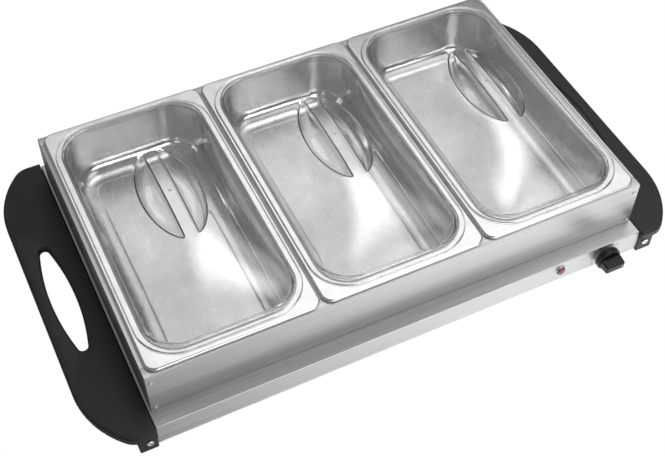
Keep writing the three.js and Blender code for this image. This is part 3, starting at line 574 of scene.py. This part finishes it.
cage = bmesh.from_edit_mesh(cover.data)
raised = [v for v in cage.verts if abs(v.co.z - PLAN_Z) < 0.01 * MM]
for v in raised:
    v.co.z = dome_height(v.co.x, v.co.y - PAN_CENTRE.y)
bmesh.update_edit_mesh(cover.data)
print("raised", len(raised), "points, crown at", round(max(v.co.z for v in raised), 4))

# %% Sink the two finger wells
WELL_EDGE = [(0, 0), (0.25, -0.1), (0.55, -0.35), (0.85, -0.8), (1.05, -1.4)]
WELL_STEPS = [(0.975, -3.2), (0.965, -3.0), (0.945, -2.6), (0.91, -2.0), (0.86, -1.5), (0.78, -1.0),
              (0.65, -0.5), (0.45, -0.2)]
FLATTEN = 0.8
for side in (-1, 1):
    count = pick("FACES", lambda f: len(f.verts) > 60 and side * f.calc_center_median().x > BAR_HALF)
    follow([(x * MM, y * MM) for x, y in WELL_EDGE])
    for share, drop in WELL_STEPS:
        bpy.ops.mesh.inset(thickness=1e-6, depth=drop * MM)
        face = next(f for f in bmesh.from_edit_mesh(cover.data).faces if f.select)
        middle = face.calc_center_bounds()
        bpy.ops.transform.resize(value=(share, share, FLATTEN), center_override=middle)
    print("well on side", side, "has", count, "face to start from")
let_go()

# %% Ring that drops into the pan, and the thickness
ring_half = tuple(h - MOUTH_BAND - LOCATOR_IN for h in PAN_HALF)
ring_place = (0, PAN_CENTRE.y, LID_BASE - LOCATOR_DROP)
locator = rounded_sheet(
    "locator", ring_half, MOUTH_CORNER - LOCATOR_IN, ring_place, COVER_STEPS, COVER_STEPS
)
bpy.ops.mesh.delete(type="ONLY_FACE")
bpy.ops.mesh.select_all(action="SELECT")
bpy.ops.mesh.extrude_edges_move(TRANSFORM_OT_translate={"value": (0, 0, LOCATOR_HIGH)})
bpy.ops.mesh.select_all(action="SELECT")
bpy.ops.mesh.normals_make_consistent(inside=False)
thicken(cover, LID_SHEET)
thicken(locator, LID_SHEET)
let_go()
bpy.ops.mesh.primitive_uv_sphere_add(
    segments=20, ring_count=10, radius=1.7 * MM, location=(0, PAN_CENTRE.y, lid_high.z - 0.8 * MM)
)
nub = bpy.context.object
nub.scale = (1, 1, 0.45)
bpy.ops.object.transform_apply(location=True, rotation=True, scale=True)
take(cover, locator, nub)
bpy.ops.object.join()
smooth(cover, 50)
print("lid:", len(cover.data.polygons), "faces")

# %% Three lids from one
lids = []
for side in SIDES:
    lid = "lid_" + side
    lids.append(copy_to(cover, lid + "_dome", (pan_x[side], 0, 0), lid, "clear_plastic", lid))
bpy.data.objects.remove(cover)
print("lids:", ", ".join(p.name for p in lids))

# %% [markdown]
# ## The handles
#
# Each handle is one moulding in charcoal plastic: a flat plate with rolled edges and a hand hole,
# hollow beneath, on two foot blocks. The outline is drawn like a turtle would: one point is
# extruded along the straights and spun round the arcs. Both outlines are filled at once, so that
# the hand hole stays open, and the flat sheet is extruded to its thickness. The edges that a hand
# touches are rounded with a bevel.

# %% Turtle helpers
def first_point(place):
    """A single point to draw from, in edit mode."""
    let_go()
    bpy.ops.mesh.primitive_plane_add(size=0.001, location=place)
    made = bpy.context.object
    bpy.ops.object.transform_apply(location=True, rotation=True, scale=True)
    bpy.ops.object.mode_set(mode="EDIT")
    bpy.ops.mesh.select_all(action="SELECT")
    bpy.context.tool_settings.mesh_select_mode = (True, False, False)
    bpy.ops.mesh.merge(type="CENTER")
    return made


def line_by(x, y):
    """Draws a straight line on by a distance."""
    bpy.ops.mesh.extrude_vertices_move(TRANSFORM_OT_translate={"value": (x, y, 0)})


def arc_about(x, y, z, degrees, steps):
    """Draws an arc on about a centre, turning left as seen from above."""
    bpy.ops.mesh.spin(steps=steps, angle=-math.radians(degrees), center=(x, y, z), axis=(0, 0, 1))


print("turtle ready")

# %% Plate and hand hole, in outline
hand_low, hand_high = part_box("handle_right")
HAND_MID = (hand_low.y + hand_high.y) / 2
HAND_END = (hand_high.y - hand_low.y) / 2
HAND_TOP = hand_high.z
BIG_ARC = 100 * MM
SMALL_ARC = 20.5 * MM
EIGHTH = math.sqrt(0.5)
big_x = hand_high.x - BIG_ARC
small_x = big_x + (BIG_ARC - SMALL_ARC) * EIGHTH
small_y = HAND_END - SMALL_ARC
big_y = small_y - (BIG_ARC - SMALL_ARC) * EIGHTH

handle = first_point((hand_low.x, HAND_MID - HAND_END, HAND_TOP))
line_by(small_x - hand_low.x, 0)
arc_about(small_x, HAND_MID - small_y, HAND_TOP, 45, 10)
arc_about(big_x, HAND_MID - big_y, HAND_TOP, 45, 22)
line_by(0, 2 * big_y)
arc_about(big_x, HAND_MID + big_y, HAND_TOP, 45, 22)
arc_about(small_x, HAND_MID + small_y, HAND_TOP, 45, 10)
line_by(hand_low.x - small_x, 0)
bpy.ops.mesh.select_all(action="SELECT")
bpy.ops.mesh.remove_doubles(threshold=1e-6)
pick("POINTS", lambda v: len(v.link_edges) == 1)
bpy.ops.mesh.edge_face_add()
let_go()
plate_size = [round(d, 4) for d in handle.dimensions]
print("plate outline:", len(handle.data.vertices), "points, size", plate_size)

HOLE_X = hand_low.x + 32.3 * MM
HOLE_HALF = (12.5 * MM, 70 * MM)
HOLE_TIP = 5 * MM
tip_y = HOLE_HALF[1] - HOLE_TIP
hole_arc = (tip_y**2 + HOLE_HALF[0] ** 2 - HOLE_TIP**2) / (2 * (HOLE_HALF[0] - HOLE_TIP))
hole_turn = math.atan2(tip_y, hole_arc - HOLE_HALF[0])
side_x = HOLE_X - hole_arc + HOLE_HALF[0]
start = (side_x + hole_arc * math.cos(hole_turn), HAND_MID - hole_arc * math.sin(hole_turn), HAND_TOP)
hole = first_point(start)
turn = math.degrees(hole_turn)
arc_about(side_x, HAND_MID, HAND_TOP, 2 * turn, 26)
arc_about(HOLE_X, HAND_MID + tip_y, HAND_TOP, 180 - 2 * turn, 12)
arc_about(2 * HOLE_X - side_x, HAND_MID, HAND_TOP, 2 * turn, 26)
arc_about(HOLE_X, HAND_MID - tip_y, HAND_TOP, 180 - 2 * turn, 12)
bpy.ops.mesh.select_all(action="SELECT")
bpy.ops.mesh.remove_doubles(threshold=1e-6)
let_go()
print("hand hole:", len(hole.data.vertices), "points, size", [round(d, 4) for d in hole.dimensions])

# %% Plate with a rolled edge, hollow beneath
PLATE = 8 * MM
PLATE_WALL = 2.4 * MM
ROLL = 2.6 * MM
take(handle, hole)
bpy.ops.object.join()
bpy.ops.object.mode_set(mode="EDIT")
bpy.ops.mesh.select_all(action="SELECT")
bpy.ops.mesh.fill(use_beauty=True)
bpy.ops.mesh.select_all(action="SELECT")
if sum(face.normal.z for face in bmesh.from_edit_mesh(handle.data).faces) < 0:
    bpy.ops.mesh.flip_normals()
bpy.ops.transform.translate(value=(0, 0, -PLATE))
follow([(0, 0), (0.02 * MM, PLATE - ROLL)] + [
    (ROLL - x, PLATE - ROLL + y) for x, y in bend((0, 0), ROLL, 12, 90, 6)
])
print("plate:", len(bmesh.from_edit_mesh(handle.data).faces), "faces")
let_go()
thicken(handle, PLATE_WALL)


# %% Foot blocks
def rounded_block(low, high, radius, segments=3):
    """A block between two corners with all its edges rounded."""
    let_go()
    low, high = Vector(low), Vector(high)
    bpy.ops.mesh.primitive_cube_add(size=1, location=(low + high) / 2)
    made = bpy.context.object
    made.scale = high - low
    bpy.ops.object.transform_apply(location=True, rotation=True, scale=True)
    bpy.ops.object.mode_set(mode="EDIT")
    bpy.ops.mesh.select_all(action="SELECT")
    bpy.ops.mesh.bevel(offset=radius, segments=segments, affect="EDGES")
    let_go()
    return made


BLOCK_WIDE = 19 * MM
BLOCK_LONG = 24 * MM
SCREW_PROUD = 2.2 * MM
block_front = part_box("handle_screw_front_right")[0].y + SCREW_PROUD
block_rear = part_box("handle_screw_rear_right")[1].y - SCREW_PROUD
block_top = HAND_TOP - 0.6 * MM
blocks = [
    rounded_block(
        (hand_low.x, y, hand_low.z), (hand_low.x + BLOCK_WIDE, y + BLOCK_LONG, block_top), 1.4 * MM
    )
    for y in (block_front, block_rear - BLOCK_LONG)
]
take(handle, *blocks)
bpy.ops.object.join()
smooth(handle, 40)
print("handle spans", [round(d, 4) for d in handle.dimensions])

# %% Right handle, and its mirror image on the left
def mirrored(piece):
    """A copy on the other side of X = 0, its faces turned out again."""
    take(piece)
    bpy.ops.object.duplicate()
    made = bpy.context.object
    bpy.ops.object.mode_set(mode="EDIT")
    bpy.ops.mesh.select_all(action="SELECT")
    bpy.ops.transform.mirror(constraint_axis=(True, False, False), center_override=(0, 0, 0))
    bpy.ops.mesh.flip_normals()
    let_go()
    return made


def settle(piece, name, body, slot, *nodes):
    """Names a finished piece and puts it on its body in place of CAD nodes."""
    piece.name = name
    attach(piece, body)
    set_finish(piece, slot)
    if nodes:
        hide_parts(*nodes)
    return piece


handle_copy = mirrored(handle)
settle(handle, "handle_right_moulding", "tray", "handle_plastic", "handle_right")
settle(handle_copy, "handle_left_moulding", "tray", "handle_plastic", "handle_left")
left_span = (handle_copy.bound_box[0][0], handle_copy.bound_box[6][0])
print("left handle from", [round(c, 4) for c in left_span])

# %% [markdown]
# ## The knob
#
# The thermostat knob is a satin black moulding: a round skirt with a soft shoulder, and a thick
# grip bar across it. The skirt is a cylinder whose front edge is beveled and whose face is inset
# into a shallow dish. The bar is a block with rounded edges, narrowed a little to the front, with
# a pale pointer line let into its face near one end.

# %% Skirt
knob_low, knob_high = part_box("knob")
KNOB_X = (knob_low.x + knob_high.x) / 2
KNOB_Z = (knob_low.z + knob_high.z) / 2
KNOB_RADIUS = (knob_high.z - knob_low.z) / 2
KNOB_SKIRT = 6 * MM


def disc(radius, front, back, x, z, sides=64):
    """A round disc on a Y axis, in edit mode, from its front to its back."""
    let_go()
    bpy.ops.mesh.primitive_cylinder_add(
        vertices=sides, radius=radius, depth=back - front,
        location=(x, (front + back) / 2, z), rotation=(math.radians(90), 0, 0),
    )
    made = bpy.context.object
    bpy.ops.object.transform_apply(location=True, rotation=True, scale=True)
    bpy.ops.object.mode_set(mode="EDIT")
    return made


def round_rim(y, radius, segments=4):
    """Bevels the round rim that lies at this Y."""
    pick("EDGES", lambda e: all(abs(v.co.y - y) < 1e-6 for v in e.verts))
    bpy.ops.mesh.bevel(offset=radius, segments=segments, affect="EDGES")


skirt_front = knob_high.y - KNOB_SKIRT
knob = disc(KNOB_RADIUS, skirt_front, knob_high.y, KNOB_X, KNOB_Z)
round_rim(skirt_front, 1.8 * MM, 5)
round_rim(knob_high.y, 0.5 * MM, 2)
pick("FACES", lambda f: f.normal.y < -0.99 and len(f.verts) > 30)
bpy.ops.mesh.inset(thickness=1.2 * MM, depth=0)
bpy.ops.mesh.inset(thickness=0.5 * MM, depth=-0.5 * MM)
print("skirt", round(2 * KNOB_RADIUS, 4), "m across")

# %% Grip bar and pointer
BAR_SIZE = (24 * MM, 11 * MM)
bar = rounded_block(
    (KNOB_X - BAR_SIZE[0] / 2, knob_low.y, KNOB_Z - BAR_SIZE[1] / 2),
    (KNOB_X + BAR_SIZE[0] / 2, skirt_front + 1 * MM, KNOB_Z + BAR_SIZE[1] / 2),
    2.4 * MM,
    5,
)
take(bar)
bpy.ops.object.mode_set(mode="EDIT")
pick("POINTS", lambda v: v.co.y < knob_low.y + 3 * MM)
bpy.ops.transform.resize(value=(0.95, 1, 0.9), center_override=(KNOB_X, knob_low.y, KNOB_Z))
let_go()
take(knob, bar)
bpy.ops.object.join()
smooth(knob, 40)
settle(knob, "knob_moulding", "knob", "knob_plastic", "knob")
pointer = rounded_block(
    (KNOB_X + 6.5 * MM, knob_low.y - 0.06 * MM, KNOB_Z - 0.55 * MM),
    (KNOB_X + 10.2 * MM, knob_low.y + 1.2 * MM, KNOB_Z + 0.55 * MM),
    0.2 * MM,
    2,
)
smooth(pointer)
settle(pointer, "knob_pointer", "knob", "cream_moulding")
print("knob reaches y", round(min((knob.matrix_world @ Vector(c)).y for c in knob.bound_box), 4))

# %% [markdown]
# ## Lamp, screws and rivets
#
# The lamp's red lens is a small disc with a domed front and two moulded rings, in a bright bezel.
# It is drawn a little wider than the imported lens, and its own front covers where it meets the panel.
# The handle screws have a low domed head with a cross recess, which a boolean cut gives. The
# rivets are low domes. Each shape is made once and copied to every place.

# %% Lamp lens and bezel
lens_low, lens_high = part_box("lamp_lens")
LENS_X = (lens_low.x + lens_high.x) / 2
LENS_Z = (lens_low.z + lens_high.z) / 2
LENS_EXTRA = 0.7 * MM
LENS_RADIUS = (lens_high.z - lens_low.z) / 2 + LENS_EXTRA
LENS_FRONT = lens_low.y + 0.6 * MM
lens = disc(LENS_RADIUS, LENS_FRONT, lens_high.y, LENS_X, LENS_Z, 48)
round_rim(LENS_FRONT, 1.4 * MM, 5)
pick("FACES", lambda f: f.normal.y < -0.99 and len(f.verts) > 30)
follow([(0, 0), (0.3 * MM, 0), (0.6 * MM, -0.25 * MM), (0.9 * MM, -0.25 * MM), (1.2 * MM, 0.05 * MM),
        (1.9 * MM, 0.35 * MM), (2.5 * MM, 0.5 * MM)])
smooth(lens, 50)
settle(lens, "lamp_red_lens", "tray", "red_lens", "lamp_lens")

bezel_low, bezel_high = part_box("lamp_bezel")
BEZEL_RADIUS = (bezel_high.z - bezel_low.z) / 2
bezel = disc(BEZEL_RADIUS, bezel_low.y, bezel_high.y, LENS_X, LENS_Z, 48)
pick("FACES", lambda f: len(f.verts) > 30)
bpy.ops.mesh.inset(thickness=BEZEL_RADIUS - LENS_RADIUS - 0.15 * MM, depth=0)
bpy.ops.mesh.bridge_edge_loops()
bpy.ops.mesh.select_all(action="SELECT")
bpy.ops.mesh.normals_make_consistent(inside=False)
round_rim(bezel_low.y, 0.4 * MM, 3)
smooth(bezel, 50)
settle(bezel, "lamp_ring", "tray", "chrome_trim", "lamp_bezel")
print("lamp lens", round(2 * LENS_RADIUS, 4), "m, ring", round(2 * BEZEL_RADIUS, 4), "m")

# %% One screw head with a cross recess
HEAD_RADIUS = 3.6 * MM
HEAD_HIGH = 1.9 * MM
screw_low, screw_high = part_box("handle_screw_front_left")
SCREW_X = (screw_low.x + screw_high.x) / 2
SCREW_Z = (screw_low.z + screw_high.z) / 2
head_front = screw_low.y
screw = disc(HEAD_RADIUS, head_front, head_front + HEAD_HIGH, SCREW_X, SCREW_Z, 40)
round_rim(head_front, 1.25 * MM, 6)
let_go()
for wide, high in ((4.4, 1.0), (1.0, 4.4)):
    cutter = rounded_block(
        (SCREW_X - wide / 2 * MM, head_front - 1 * MM, SCREW_Z - high / 2 * MM),
        (SCREW_X + wide / 2 * MM, head_front + 1.2 * MM, SCREW_Z + high / 2 * MM),
        0.15 * MM,
        1,
    )
    take(screw)
    slit = screw.modifiers.new("slit", "BOOLEAN")
    slit.operation = "DIFFERENCE"
    slit.object = cutter
    bpy.ops.object.modifier_apply(modifier=slit.name)
    bpy.data.objects.remove(cutter)
shank = disc(1.6 * MM, head_front + HEAD_HIGH - 0.1 * MM, screw_high.y, SCREW_X, SCREW_Z, 24)
take(screw, shank)
bpy.ops.object.join()
smooth(screw, 40)
print("screw:", len(screw.data.polygons), "faces")


# %% Four screws and eight rivets
def middle_of(node):
    """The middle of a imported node's box."""
    low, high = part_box(node)
    return (low + high) / 2


def turned_about(piece, middle):
    """Turns a piece half round about an upright axis through a point."""
    take(piece)
    bpy.ops.object.mode_set(mode="EDIT")
    bpy.ops.mesh.select_all(action="SELECT")
    bpy.ops.transform.rotate(value=math.pi, orient_axis="Z", center_override=middle)
    let_go()


def copies(piece, start_node, nodes, suffix, body, slot):
    """Copies a piece from its first node's place to all of them. Rear ones are turned round."""
    start = middle_of(start_node)
    for node in nodes:
        made = copy_to(piece, node + suffix, middle_of(node) - start, body, slot, node)
        if "_rear_" in node:
            turned_about(made, middle_of(node))
    bpy.data.objects.remove(piece)


CORNERS = [f"{face}_{end}" for face in ("front", "rear") for end in ("left", "right")]
screw_nodes = ["handle_screw_" + corner for corner in CORNERS]
copies(screw, screw_nodes[0], screw_nodes, "_cross", "tray", "chrome_trim")

rivet_nodes = [f"rivet_{corner}_{level}" for corner in CORNERS for level in ("upper", "lower")]
rivet_low, rivet_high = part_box(rivet_nodes[0])
rivet_x = (rivet_low.x + rivet_high.x) / 2
rivet_z = (rivet_low.z + rivet_high.z) / 2
RIVET_RADIUS = 2.1 * MM
rivet = disc(RIVET_RADIUS, rivet_low.y, rivet_low.y + 0.9 * MM, rivet_x, rivet_z, 28)
round_rim(rivet_low.y, 0.75 * MM, 5)
tail = disc(1.2 * MM, rivet_low.y + 0.8 * MM, rivet_high.y - 0.9 * MM, rivet_x, rivet_z, 20)
foot = disc(RIVET_RADIUS, rivet_high.y - 1.0 * MM, rivet_high.y, rivet_x, rivet_z, 28)
round_rim(rivet_high.y, 0.3 * MM, 2)
take(rivet, tail, foot)
bpy.ops.object.join()
smooth(rivet, 50)
copies(rivet, rivet_nodes[0], rivet_nodes, "_dome", "frame", "zinc_steel")
print("screws", len(screw_nodes), "rivets", len(rivet_nodes))

# %% [markdown]
# ## Folded edges
#
# The tray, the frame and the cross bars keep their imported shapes. Folded sheet is never sharp:
# a Weld modifier joins the loose triangles and a Bevel rounds the edges, so that each fold
# catches a line of light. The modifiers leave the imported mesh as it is.

# %% Round the folds
FOLDS = {
    "tray_shell": 0.9, "frame_front": 0.5, "frame_rear": 0.5, "frame_left": 0.5, "frame_right": 0.5,
    "cross_bar_left": 0.5, "cross_bar_right": 0.5, "cord_inlet": 0.5, "bottom_cover": 0.3,
}
for node, width in FOLDS.items():
    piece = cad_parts[node]
    joined = piece.modifiers.new("joined", "WELD")
    joined.merge_threshold = 0.01 * MM
    fold = piece.modifiers.new("fold", "BEVEL")
    fold.width = width * MM
    fold.segments = 3
    fold.limit_method = "ANGLE"
    fold.angle_limit = math.radians(50)
    lead = piece.modifiers.new("flats_lead", "WEIGHTED_NORMAL")
    lead.keep_sharp = True
print("rounded the folds of", len(FOLDS), "parts")

# %% [markdown]
# ## Marks beside the knob
#
# The setting marks of such a knob are printed on the panel. Six plain strokes stand beside it,
# where the low panel has room for them. They are thin boxes set round the knob's axis.

# %% Dial marks
PANEL_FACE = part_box("tray_shell")[0].y
MARK_RADIUS = (knob_high.x - knob_low.x) / 2 + 2.6 * MM
MARK_SIZE = (0.55 * MM, 0.10 * MM, 2.2 * MM)
MARK_PROUD = 0.04 * MM
let_go()
marks = []
for degrees in (-120, -90, -60, 60, 90, 120):
    turn = math.radians(degrees)
    spot = (KNOB_X + MARK_RADIUS * math.sin(turn), PANEL_FACE - MARK_PROUD,
            KNOB_Z + MARK_RADIUS * math.cos(turn))
    bpy.ops.mesh.primitive_cube_add(size=1, location=spot, rotation=(0, turn, 0), scale=MARK_SIZE)
    marks.append(bpy.context.object)
take(*marks)
bpy.ops.object.join()
bpy.ops.object.transform_apply(location=True, rotation=True, scale=True)
settle(marks[0], "dial_marks", "tray", "knob_plastic")
print("dial marks:", len(marks), "at radius", round(MARK_RADIUS, 4))

# %% [markdown]
# ## Finishes
#
# Each finish is one Principled shader, with noise for what makes it real: brush lines on the
# sheet steel, soft ripples in the drawn pans, a fine grain in the plastics.

# %% Finish helpers
def finish(name, colour, metallic=0.0, roughness=0.5):
    """A new material with one Principled shader. Returns the material, its tree and shader."""
    made = bpy.data.materials.new(name)
    made.use_nodes = True
    shader = made.node_tree.nodes["Principled BSDF"]
    shader.inputs["Base Color"].default_value = (*colour, 1)
    shader.inputs["Metallic"].default_value = metallic
    shader.inputs["Roughness"].default_value = roughness
    return made, made.node_tree, shader


def noise(tree, stretch, scale=1.0, detail=4.0, roughness=0.55):
    """Noise on Object coordinates, stretched by a Mapping node: stretch is cells per metre."""
    place = tree.nodes.new("ShaderNodeTexCoord")
    turn = tree.nodes.new("ShaderNodeMapping")
    turn.inputs["Scale"].default_value = stretch
    pattern = tree.nodes.new("ShaderNodeTexNoise")
    pattern.inputs["Scale"].default_value = scale
    pattern.inputs["Detail"].default_value = detail
    pattern.inputs["Roughness"].default_value = roughness
    tree.links.new(place.outputs["Object"], turn.inputs["Vector"])
    tree.links.new(turn.outputs["Vector"], pattern.inputs["Vector"])
    return pattern.outputs["Fac"]


def spread(tree, value, low, high, from_low=0.3, from_high=0.7):
    """Spreads a 0 to 1 value between two numbers."""
    remap = tree.nodes.new("ShaderNodeMapRange")
    remap.inputs["From Min"].default_value = from_low
    remap.inputs["From Max"].default_value = from_high
    remap.inputs["To Min"].default_value = low
    remap.inputs["To Max"].default_value = high
    tree.links.new(value, remap.inputs["Value"])
    return remap.outputs["Result"]


def tones(tree, value, dark, light, low=0.3, high=0.7):
    """Two colours across a value."""
    ramp = tree.nodes.new("ShaderNodeValToRGB")
    ramp.color_ramp.elements[0].position = low
    ramp.color_ramp.elements[0].color = (*dark, 1)
    ramp.color_ramp.elements[1].position = high
    ramp.color_ramp.elements[1].color = (*light, 1)
    tree.links.new(value, ramp.inputs["Fac"])
    return ramp.outputs["Color"]


def relief(tree, shader, heights):
    """Bump from (height, strength, distance) triples, one over the other."""
    normal = None
    for height, strength, distance in heights:
        bump = tree.nodes.new("ShaderNodeBump")
        bump.inputs["Strength"].default_value = strength
        bump.inputs["Distance"].default_value = distance
        tree.links.new(height, bump.inputs["Height"])
        if normal:
            tree.links.new(normal, bump.inputs["Normal"])
        normal = bump.outputs["Normal"]
    tree.links.new(normal, shader.inputs["Normal"])


print("finish helpers ready")

# %% Brushed sheet steel
brushed_steel, tree, shader = finish("brushed_steel", (0.60, 0.60, 0.60), 1.0, 0.3)
lines = noise(tree, (6, 900, 900), 1.0, 3.0, 0.6)
patches = noise(tree, (9, 40, 40), 1.0, 2.0)
tree.links.new(tones(tree, lines, (0.50, 0.50, 0.51), (0.68, 0.68, 0.68)), shader.inputs["Base Color"])
tree.links.new(spread(tree, lines, 0.34, 0.48), shader.inputs["Roughness"])
relief(tree, shader, [(lines, 0.20, 0.00005), (patches, 0.05, 0.0005)])
shader.inputs["Anisotropic"].default_value = 0.5

# %% Polished drawn steel, with a floor that use has made satin
PAN_FLOOR = pan_low.z
polished_steel, tree, shader = finish("polished_steel", (0.80, 0.80, 0.80), 1.0, 0.14)
ripples = noise(tree, (22, 22, 22), 1.0, 2.0, 0.4)
draw_marks = noise(tree, (60, 60, 12), 1.0, 3.0, 0.5)
rub = noise(tree, (700, 90, 700), 1.0, 4.0, 0.6)
drawn_tone = tones(tree, draw_marks, (0.76, 0.755, 0.75), (0.87, 0.865, 0.855))
tree.links.new(drawn_tone, shader.inputs["Base Color"])
place = tree.nodes.new("ShaderNodeTexCoord")
split = tree.nodes.new("ShaderNodeSeparateXYZ")
tree.links.new(place.outputs["Object"], split.inputs["Vector"])
satin = spread(tree, split.outputs["Z"], 0.17, 0.0, PAN_FLOOR + 1.5 * MM, PAN_FLOOR + 6 * MM)
rubbed = tree.nodes.new("ShaderNodeMath")
rubbed.operation = "ADD"
tree.links.new(spread(tree, rub, 0.08, 0.18), rubbed.inputs[0])
tree.links.new(satin, rubbed.inputs[1])
tree.links.new(rubbed.outputs["Value"], shader.inputs["Roughness"])
relief(tree, shader, [(ripples, 0.10, 0.0010), (draw_marks, 0.03, 0.0004), (rub, 0.05, 0.00004)])

# %% Clear moulded plastic
clear_plastic, tree, shader = finish("clear_plastic", (0.975, 0.98, 0.98), 0.0, 0.02)
shader.inputs["Transmission Weight"].default_value = 1.0
shader.inputs["IOR"].default_value = 1.49
shader.inputs["Coat Weight"].default_value = 1.0
shader.inputs["Coat IOR"].default_value = 1.7
shader.inputs["Coat Roughness"].default_value = 0.04
haze = noise(tree, (14, 14, 14), 1.0, 2.0)
relief(tree, shader, [(haze, 0.03, 0.0012)])
path = tree.nodes.new("ShaderNodeLightPath")
pass_by = tree.nodes.new("ShaderNodeBsdfTransparent")
pass_by.inputs["Color"].default_value = (0.93, 0.93, 0.93, 1)
choose = tree.nodes.new("ShaderNodeMixShader")
tree.links.new(path.outputs["Is Shadow Ray"], choose.inputs[0])
tree.links.new(shader.outputs[0], choose.inputs[1])
tree.links.new(pass_by.outputs[0], choose.inputs[2])
tree.links.new(choose.outputs[0], tree.nodes["Material Output"].inputs["Surface"])

# %% Plastics
handle_plastic, tree, shader = finish("handle_plastic", (0.018, 0.017, 0.020), 0.0, 0.5)
grain = noise(tree, (2600, 2600, 2600), 1.0, 2.0)
wear = noise(tree, (35, 35, 35), 1.0, 3.0)
worn_tone = tones(tree, wear, (0.015, 0.0145, 0.018), (0.026, 0.025, 0.029))
tree.links.new(worn_tone, shader.inputs["Base Color"])
tree.links.new(spread(tree, wear, 0.42, 0.55), shader.inputs["Roughness"])
relief(tree, shader, [(grain, 0.12, 0.00008), (wear, 0.08, 0.0008)])
shader.inputs["Specular IOR Level"].default_value = 0.4

knob_plastic, tree, shader = finish("knob_plastic", (0.012, 0.012, 0.013), 0.0, 0.32)
grain = noise(tree, (1800, 1800, 1800), 1.0, 2.0)
knob_tone = tones(tree, grain, (0.009, 0.009, 0.010), (0.017, 0.017, 0.018))
tree.links.new(knob_tone, shader.inputs["Base Color"])
tree.links.new(spread(tree, grain, 0.26, 0.38), shader.inputs["Roughness"])
relief(tree, shader, [(grain, 0.1, 0.00006)])
shader.inputs["Specular IOR Level"].default_value = 0.3

red_lens, tree, shader = finish("red_lens", (0.26, 0.012, 0.018), 0.0, 0.16)
depth = noise(tree, (420, 420, 420), 1.0, 2.0)
lens_tone = tones(tree, depth, (0.085, 0.004, 0.008), (0.22, 0.012, 0.02))
tree.links.new(lens_tone, shader.inputs["Base Color"])
shader.inputs["Coat Weight"].default_value = 0.8
shader.inputs["Coat Roughness"].default_value = 0.06
relief(tree, shader, [(depth, 0.1, 0.0001)])


# %% Finishes of the small and the hidden parts
def grained(name, dark, light, metallic, rough, size, strength=0.15, distance=0.0001):
    """A finish with one even grain in colour, roughness and bump: size is grains per metre."""
    made, tree, shader = finish(name, light, metallic, rough[0])
    value = noise(tree, (size, size, size), 1.0, 3.0)
    tree.links.new(tones(tree, value, dark, light), shader.inputs["Base Color"])
    tree.links.new(spread(tree, value, *rough), shader.inputs["Roughness"])
    relief(tree, shader, [(value, strength, distance)])
    return made


finishes = {
    "brushed_steel": brushed_steel,
    "polished_steel": polished_steel,
    "clear_plastic": clear_plastic,
    "handle_plastic": handle_plastic,
    "knob_plastic": knob_plastic,
    "red_lens": red_lens,
    "zinc_steel": grained(
        "zinc_steel", (0.60, 0.61, 0.62), (0.76, 0.77, 0.78), 1.0, (0.22, 0.36), 160
    ),
    "chrome_trim": grained(
        "chrome_trim", (0.78, 0.78, 0.79), (0.88, 0.88, 0.88), 1.0, (0.08, 0.16), 900, 0.05
    ),
    "rubber_foot": grained(
        "rubber_foot", (0.018, 0.018, 0.018), (0.034, 0.034, 0.034), 0.0, (0.75, 0.9), 1200, 0.3
    ),
    "spreader_aluminium": grained(
        "spreader_aluminium", (0.55, 0.56, 0.57), (0.68, 0.69, 0.70), 1.0, (0.35, 0.5), 220
    ),
    "element_sheath": grained(
        "element_sheath", (0.10, 0.095, 0.09), (0.22, 0.20, 0.18), 0.8, (0.45, 0.65), 300, 0.3
    ),
    "mineral_wool": grained(
        "mineral_wool", (0.42, 0.36, 0.22), (0.62, 0.55, 0.38), 0.0, (0.9, 1.0), 450, 0.9, 0.0008
    ),
    "cream_moulding": grained(
        "cream_moulding", (0.62, 0.58, 0.49), (0.74, 0.70, 0.62), 0.0, (0.5, 0.65), 500
    ),
    "wire_sleeve": grained(
        "wire_sleeve", (0.20, 0.03, 0.02), (0.34, 0.06, 0.045), 0.0, (0.5, 0.65), 700
    ),
}
print("finishes:", ", ".join(finishes))

# %% Every piece takes its slot's finish
SLOT_BY_NAME = {
    "tray_": "brushed_steel", "frame_": "brushed_steel", "cross_bar": "brushed_steel",
    "pan_": "polished_steel", "lid_": "clear_plastic", "handle_screw": "chrome_trim",
    "handle_": "handle_plastic", "foot_": "rubber_foot", "lamp_bezel": "chrome_trim",
    "lamp_lens": "red_lens", "lamp_body": "cream_moulding", "thermostat_body": "cream_moulding",
    "terminal_": "cream_moulding", "heat_": "spreader_aluminium", "heating_": "element_sheath",
    "insulation": "mineral_wool", "knob": "knob_plastic", "cord_inlet": "knob_plastic",
    "wire_": "wire_sleeve", "": "zinc_steel",
}


def slot_of(piece):
    if "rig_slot" in piece:
        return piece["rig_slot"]
    return next(slot for start, slot in SLOT_BY_NAME.items() if piece.name.startswith(start))


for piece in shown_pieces():
    piece.data.materials.clear()
    piece.data.materials.append(finishes[slot_of(piece)])
